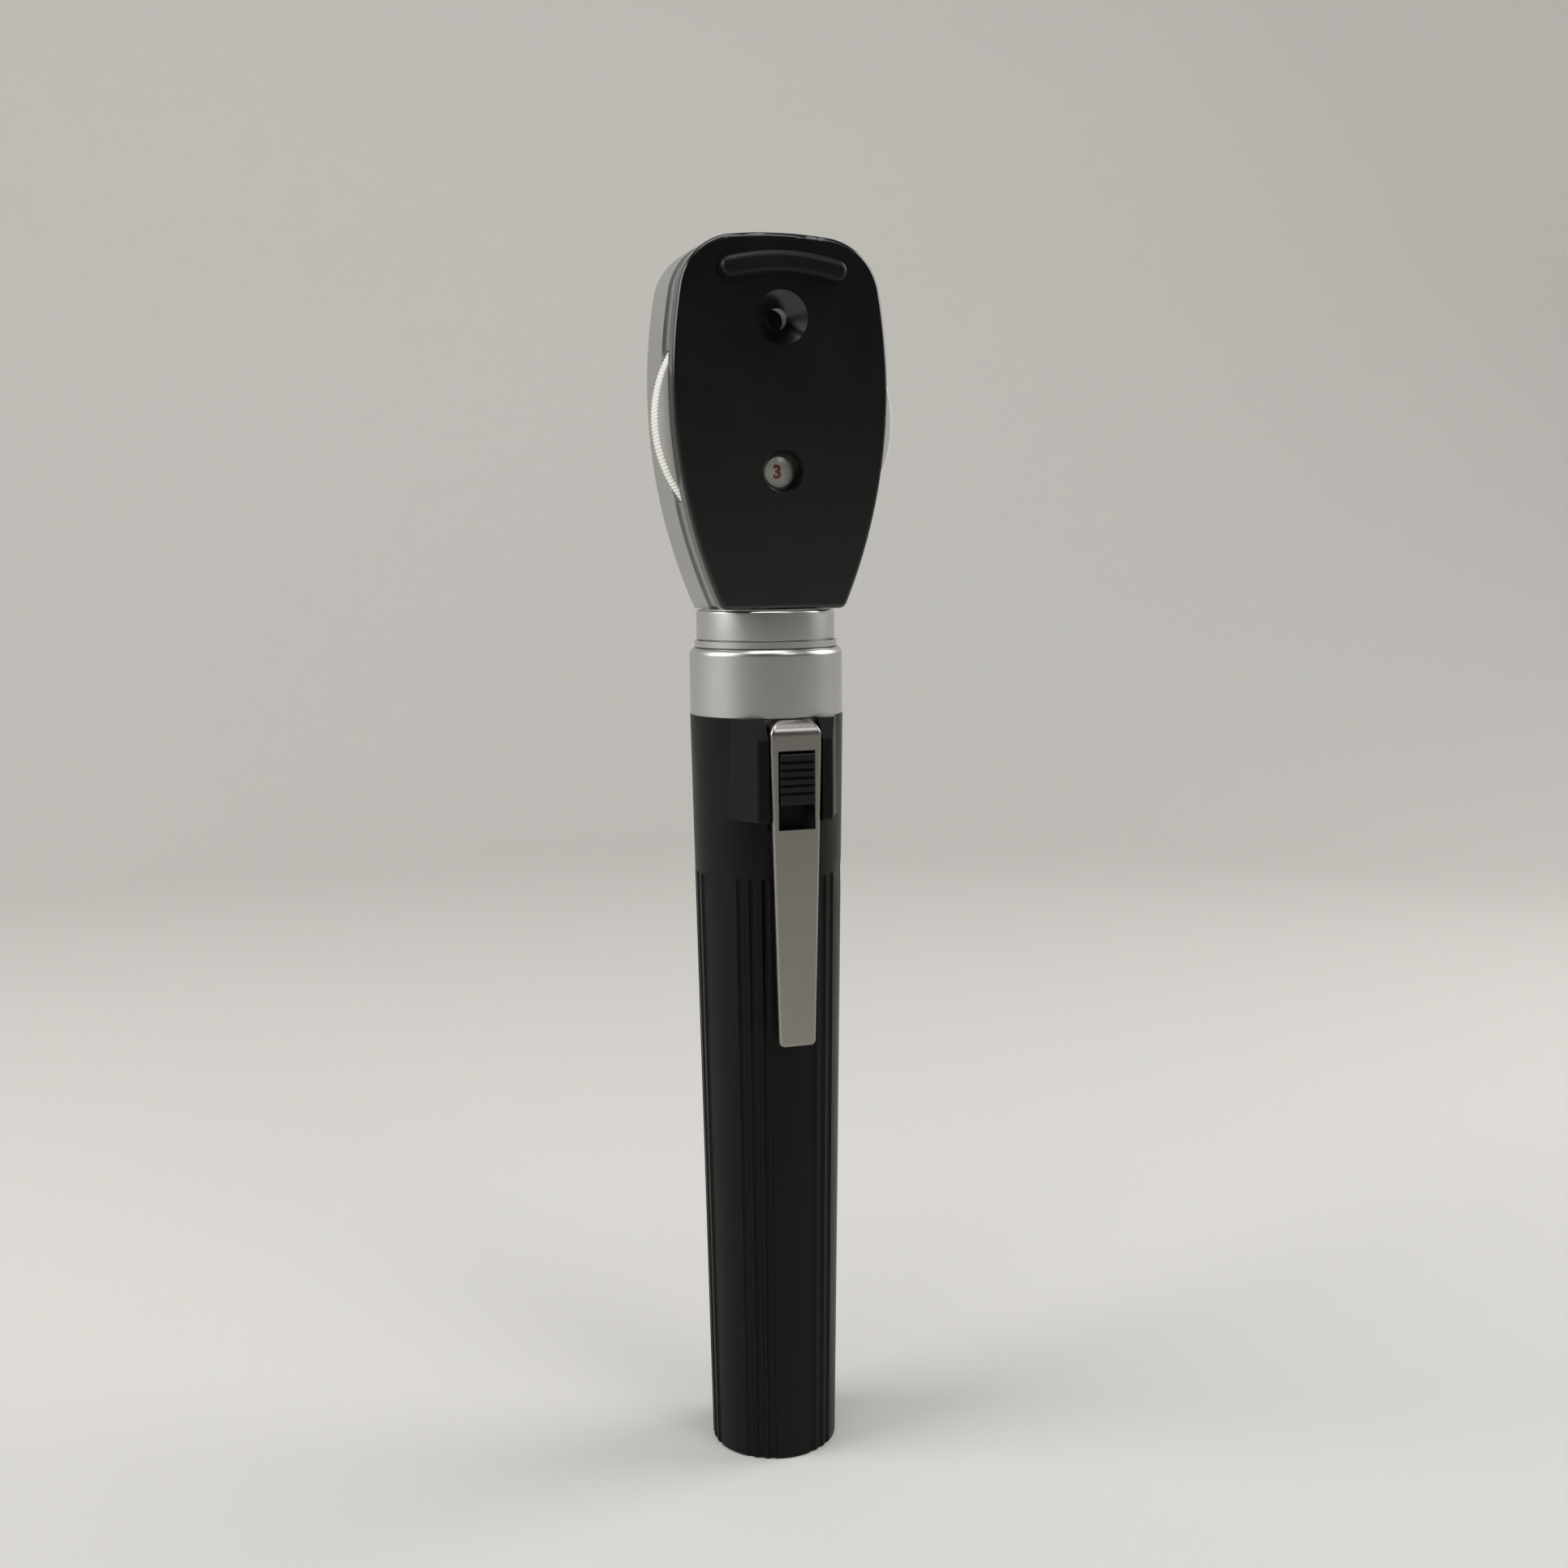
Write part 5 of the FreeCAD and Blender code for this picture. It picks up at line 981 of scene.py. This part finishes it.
@dataclass
class ApertureWheel:
    """The black thumb wheel at the front of the casing.

    Args:
        centre: A point on its axis, at height zero.
        radius: Outside radius.
        low: Height of its underside.
        high: Height of its rim's top.
        bore: Radius of the axle hole.
        bevel: Bevel of the rim.
        knurled_edge: Width of the knurled rim, which takes in its bevel.
        ridges: Ridges round the rim.
        ridge_depth: Depth of the grooves between them.
        ridge_divisions: Steps of the rim for each ridge.
        recess_radius: Radius of the recess for the aperture disc.
        recess_depth: Depth of that recess.
        hole_circle: Circle of the light holes.
        hole_radius: Radius of a light hole.
        hole_count: How many light holes.
    """

    centre: Vector
    radius: float
    low: float
    high: float
    bore: float = 0.78 * MM
    bevel: float = 0.12 * MM
    knurled_edge: float = 0.15 * MM
    ridges: int = 72
    ridge_depth: float = 0.22 * MM
    ridge_divisions: int = 8
    recess_radius: float = 5.2 * MM
    recess_depth: float = 0.3 * MM
    hole_circle: float = 3.9 * MM
    hole_radius: float = 1.4 * MM
    hole_count: int = 5

    @classmethod
    def in_frame(cls) -> "ApertureWheel":
        """Takes the place and outer size of the CAD part's wheel.

        Returns:
            The wheel.
        """
        low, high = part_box("aperture_wheel")
        centre = Vector((0.0, (low.y + high.y) / 2.0, 0.0))
        return cls(centre, radius=(high.x - low.x) / 2.0, low=low.z, high=high.z)

    def build(self, plastic: bpy.types.Material) -> bpy.types.Object:
        """Makes the wheel and lets it ride on the aperture body.

        Args:
            plastic: Its finish.

        Returns:
            The wheel.
        """
        rim = self.radius - self.knurled_edge
        knurl = Knurl(self.ridges, self.ridge_depth, rim, self.ridge_divisions)
        section = [
            (self.bore, self.low),
            (self.radius - self.bevel, self.low),
            (self.radius, self.low + self.bevel),
            (self.radius, self.high - self.bevel),
            (self.radius - self.bevel, self.high),
            (self.recess_radius, self.high),
            (self.recess_radius, self.high - self.recess_depth),
            (self.bore, self.high - self.recess_depth),
        ]
        holes = ring_of_cylinders(
            self.hole_count,
            self.hole_circle,
            self.hole_radius,
            self.low - MM,
            self.high + MM,
            -QUARTER_TURN,
        )
        mesh = drilled(spun(section, knurl.steps, knurl.rule), holes, plastic)
        bmesh.ops.translate(mesh, vec=self.centre, verts=mesh.verts)
        wheel = piece_from(mesh, "aperture_wheel_knurled", plastic)
        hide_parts("aperture_wheel")
        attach(wheel, "aperture")
        return wheel


@dataclass
class ScrewNeck:
    """The head's collar, whose spigot has the screw thread that the CAD part leaves plain.

    Args:
        low: Height of the spigot's lower end.
        high: Height of the stem's upper end.
        collar: Outside radius of the collar.
        spigot: Outside radius of the spigot.
        throat: Radius between spigot and collar.
        shoulder: Radius of the collar's small shoulder under the head.
        stem: Outside radius of the stem.
        stem_bore: Bore of the stem.
        bore: Bore of the spigot.
        spigot_length: Length of the spigot.
        carrier_rise: Top of the wider bore, above the spigot's lower end.
        collar_rise: Collar's underside, above the spigot's lower end.
        collar_height: Height of the collar.
        shoulder_height: Height of the shoulder.
        rim: Rounding of the collar's top.
        chamfer: Bevel of the collar's underside.
        pitch: Rise for each turn of the thread.
        depth: Depth of the thread's grooves.
        root: Width of a groove's flat bottom, as a share of the pitch.
        flank: Width of each of its slopes, as a share of the pitch.
        runout: Plain stretch above the thread.
        thread_steps: Steps of the section along the thread.
        divisions: Steps round the collar.
        on_surface: Points nearer than this to the spigot's radius lie on it.
    """

    low: float
    high: float
    collar: float
    spigot: float = 8.15 * MM
    throat: float = 8.9 * MM
    shoulder: float = 8.5 * MM
    stem: float = 4.9 * MM
    stem_bore: float = 4.2 * MM
    bore: float = 6.0 * MM
    spigot_length: float = 4.35 * MM
    carrier_rise: float = 3.95 * MM
    collar_rise: float = 5.35 * MM
    collar_height: float = 3.95 * MM
    shoulder_height: float = 0.2 * MM
    rim: float = 0.3 * MM
    chamfer: float = 0.12 * MM
    pitch: float = 1.1 * MM
    depth: float = 0.35 * MM
    root: float = 0.3
    flank: float = 0.25
    runout: float = 0.2 * MM
    thread_steps: int = 36
    divisions: int = 160
    on_surface: float = 0.01 * MM

    @classmethod
    def in_frame(cls) -> "ScrewNeck":
        """Takes the heights and outer size of the CAD part's collar.

        Returns:
            The collar.
        """
        low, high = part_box("head_collar")
        return cls(low=low.z, high=high.z, collar=(high.x - low.x) / 2.0)

    def groove(self, height: float, angle: float) -> float:
        """Works out how deep the thread is at a place, from none on a crest to one in a root.

        Args:
            height: Height of the point.
            angle: Angle of the point.

        Returns:
            The share of the full depth.
        """
        phase = (height / self.pitch - angle / FULL_TURN) % 1.0
        from_root = abs(phase - 0.5)
        return min(1.0, max(0.0, (self.root / 2.0 + self.flank - from_root) / self.flank))

    def threaded(self, radius: float, height: float, angle: float) -> float:
        """Moves the spigot's surface in where the thread's grooves run.

        Args:
            radius: Radius of the point on the plain collar.
            height: Height of the point.
            angle: Angle of the point.

        Returns:
            The radius with the thread cut.
        """
        on_spigot = abs(radius - self.spigot) < self.on_surface
        if on_spigot and height < self.low + self.spigot_length - self.runout:
            return radius - self.depth * self.groove(height, angle)
        return radius

    def build(self, plate: bpy.types.Material) -> bpy.types.Object:
        """Makes the collar with its threaded spigot.

        Args:
            plate: Finish of the collar.

        Returns:
            The collar.
        """
        spigot_high = self.low + self.spigot_length
        collar_low = self.low + self.collar_rise
        top = collar_low + self.collar_height
        shoulder_top = top + self.shoulder_height
        carrier = self.low + self.carrier_rise
        section = [
            (self.bore, self.low),
            (self.spigot - self.depth, self.low),
            *stepped(
                (self.spigot, self.low + self.depth), (self.spigot, spigot_high), self.thread_steps
            ),
            (self.spigot, spigot_high),
            (self.throat, spigot_high),
            (self.throat, collar_low),
            (self.collar - self.chamfer, collar_low),
            (self.collar, collar_low + self.chamfer),
            *rounded_corner(self.collar - self.rim, top - self.rim, self.rim),
            (self.shoulder, top),
            (self.shoulder, shoulder_top),
            (self.stem, shoulder_top),
            (self.stem, self.high),
            (self.stem_bore, self.high),
            (self.stem_bore, carrier),
            (self.bore, carrier),
        ]
        mesh = spun(section, self.divisions, self.threaded)
        collar = piece_from(mesh, "head_collar_threaded", plate)
        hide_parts("head_collar")
        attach(collar, "head")
        return collar


# ------------------------------------------------------------------ studio


@dataclass
class SoftLight:
    """One soft square light that points at the object.

    Args:
        name: Its name.
        place: Where it stands.
        side: Length of its side.
        power: Power in watts.
        aim: What it points at.
    """

    name: str
    place: Vector
    side: float
    power: float
    aim: Vector = field(default_factory=lambda: Vector((0.0, 0.0, 90.0 * MM)))

    def build(self) -> None:
        """Adds the light to the scene."""
        lamp = bpy.data.lights.new(self.name, "AREA")
        lamp.shape = "SQUARE"
        lamp.size = self.side
        lamp.energy = self.power
        holder = bpy.data.objects.new(self.name, lamp)
        holder.location = self.place
        holder.rotation_euler = (self.aim - self.place).to_track_quat("-Z", "Y").to_euler()
        bpy.context.scene.collection.objects.link(holder)


@dataclass
class Studio:
    """The pale board, the light and the camera.

    Args:
        flat_radius: Radius of the flat floor.
        sweep_radius: Radius of the sweep that joins floor and wall.
        sweep_steps: Steps of the sweep.
        wall_height: Height of the wall above the sweep.
        divisions: Steps round the floor and the wall.
        seam: Distance at which the floor's edge and the sweep's are joined.
        sky: Colour of the light from all round.
        sky_strength: Its strength.
        lens_mm: Focal length.
        sensor_mm: Width of the sensor.
        nearest: Nearest distance that the camera sees.
        eye: Place of the camera.
        yaw: Turn of the camera to the right of +Y, in degrees.
        pitch: Tilt above the horizon, in degrees.
        roll: Turn about the line of sight, in degrees.
    """

    flat_radius: float = 0.5
    sweep_radius: float = 0.3
    sweep_steps: int = 20
    wall_height: float = 0.9
    divisions: int = 128
    seam: float = 1e-5
    sky: str = "#dfe3e6"
    sky_strength: float = 0.17
    lens_mm: float = 40.48
    sensor_mm: float = 36.0
    nearest: float = 0.01
    eye: Vector = field(default_factory=lambda: Vector((-75.349, -228.96, 125.056)) * MM)
    yaw: float = 18.77
    pitch: float = -7.342
    roll: float = -0.563
    lights: tuple[SoftLight, ...] = field(
        default_factory=lambda: (
            SoftLight("window_left", Vector((-0.55, 0.02, 0.42)), 0.4, 2.5),
            SoftLight("window_right", Vector((0.5, -0.02, 0.38)), 0.35, 1.6),
            SoftLight("ceiling", Vector((-0.05, -0.12, 0.85)), 0.5, 3.15, Vector((0.0, 0.55, 0.2))),
            SoftLight("front_high", Vector((0.2, -0.5, 0.56)), 0.22, 0.5),
        )
    )

    def build(self) -> None:
        """Makes the floor, the lights, the world and the camera."""
        self._floor()
        for light in self.lights:
            light.build()
        self._world()
        self._camera()

    def _floor(self) -> None:
        """Makes a round floor that sweeps up into a wall all round."""
        mesh = bmesh.new()
        bmesh.ops.create_circle(
            mesh, cap_ends=True, segments=self.divisions, radius=self.flat_radius
        )
        points = [(self.flat_radius, 0.0)]
        for index in range(1, self.sweep_steps + 1):
            angle = QUARTER_TURN * index / self.sweep_steps
            out = self.flat_radius + self.sweep_radius * math.sin(angle)
            points.append((out, self.sweep_radius * (1.0 - math.cos(angle))))
        wall_top = self.sweep_radius + self.wall_height
        points.append((self.flat_radius + self.sweep_radius, wall_top))
        corners = [mesh.verts.new((radius, 0.0, height)) for radius, height in points]
        edges = [mesh.edges.new(pair) for pair in zip(corners, corners[1:])]
        bmesh.ops.spin(
            mesh,
            geom=corners + edges,
            cent=(0.0, 0.0, 0.0),
            axis=(0.0, 0.0, 1.0),
            angle=FULL_TURN,
            steps=self.divisions,
            use_merge=True,
        )
        bmesh.ops.remove_doubles(mesh, verts=mesh.verts, dist=self.seam)
        floor = piece_from(mesh, "floor", BoardFinish().build())

    def _world(self) -> None:
        """Sets the even light from all round."""
        world = bpy.data.worlds.new("studio")
        world.use_nodes = True
        tree = world.node_tree
        tree.nodes.clear()
        glow = add_node(
            tree,
            "ShaderNodeBackground",
            inputs={"Color": linear_colour(self.sky), "Strength": self.sky_strength},
        )
        add_node(tree, "ShaderNodeOutputWorld", inputs={"Surface": glow.outputs[0]})
        bpy.context.scene.world = world
        bpy.context.scene.view_settings.view_transform = "Standard"

    def _camera(self) -> None:
        """Places the camera."""
        yaw, pitch, roll = (math.radians(angle) for angle in (self.yaw, self.pitch, self.roll))
        ahead = Vector((math.sin(yaw), math.cos(yaw), 0.0))
        forward = math.cos(pitch) * ahead + math.sin(pitch) * Vector((0.0, 0.0, 1.0))
        level = Vector((math.cos(yaw), -math.sin(yaw), 0.0))
        upright = level.cross(forward)
        right = math.cos(roll) * level + math.sin(roll) * upright
        up = -math.sin(roll) * level + math.cos(roll) * upright
        lens = bpy.data.cameras.new("camera")
        lens.lens = self.lens_mm
        lens.sensor_width = self.sensor_mm
        lens.clip_start = self.nearest
        holder = bpy.data.objects.new("camera", lens)
        holder.matrix_world = Matrix(
            (
                (right.x, up.x, -forward.x, self.eye.x),
                (right.y, up.y, -forward.y, self.eye.y),
                (right.z, up.z, -forward.z, self.eye.z),
                (0.0, 0.0, 0.0, 1.0),
            )
        )
        bpy.context.scene.collection.objects.link(holder)
        bpy.context.scene.camera = holder


# ------------------------------------------------------------------ the whole picture


def dress_cad_nodes(materials: Mapping[str, bpy.types.Material]) -> None:
    """Gives each CAD node the finish of its material slot.

    Args:
        materials: Slot name to finish.
    """
    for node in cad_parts.values():
        for holder in node.material_slots:
            holder.material = materials[holder.material.name.split(".")[0]]


def main() -> None:
    """Builds the pieces and the studio, and reports each piece with its face count."""
    logging.basicConfig(level=logging.INFO)
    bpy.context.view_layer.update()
    materials = {slot.value: finish.build() for slot, finish in FINISHES.items()}
    dress_cad_nodes(materials)
    white = materials[Slot.WHITE.value]
    pieces = [
        *LensWheel.in_frame().build(white, INK_BLACK.build(), INK_RED.build()),
        ApertureWheel.in_frame().build(materials[Slot.MATTE.value]),
        ScrewNeck.in_frame().build(materials[Slot.NICKEL.value]),
    ]
    for piece in pieces:
        LOG.info("made %s with %d faces", piece.name, len(piece.data.polygons))
    Studio().build()


if __name__ == "__main__":
    main()
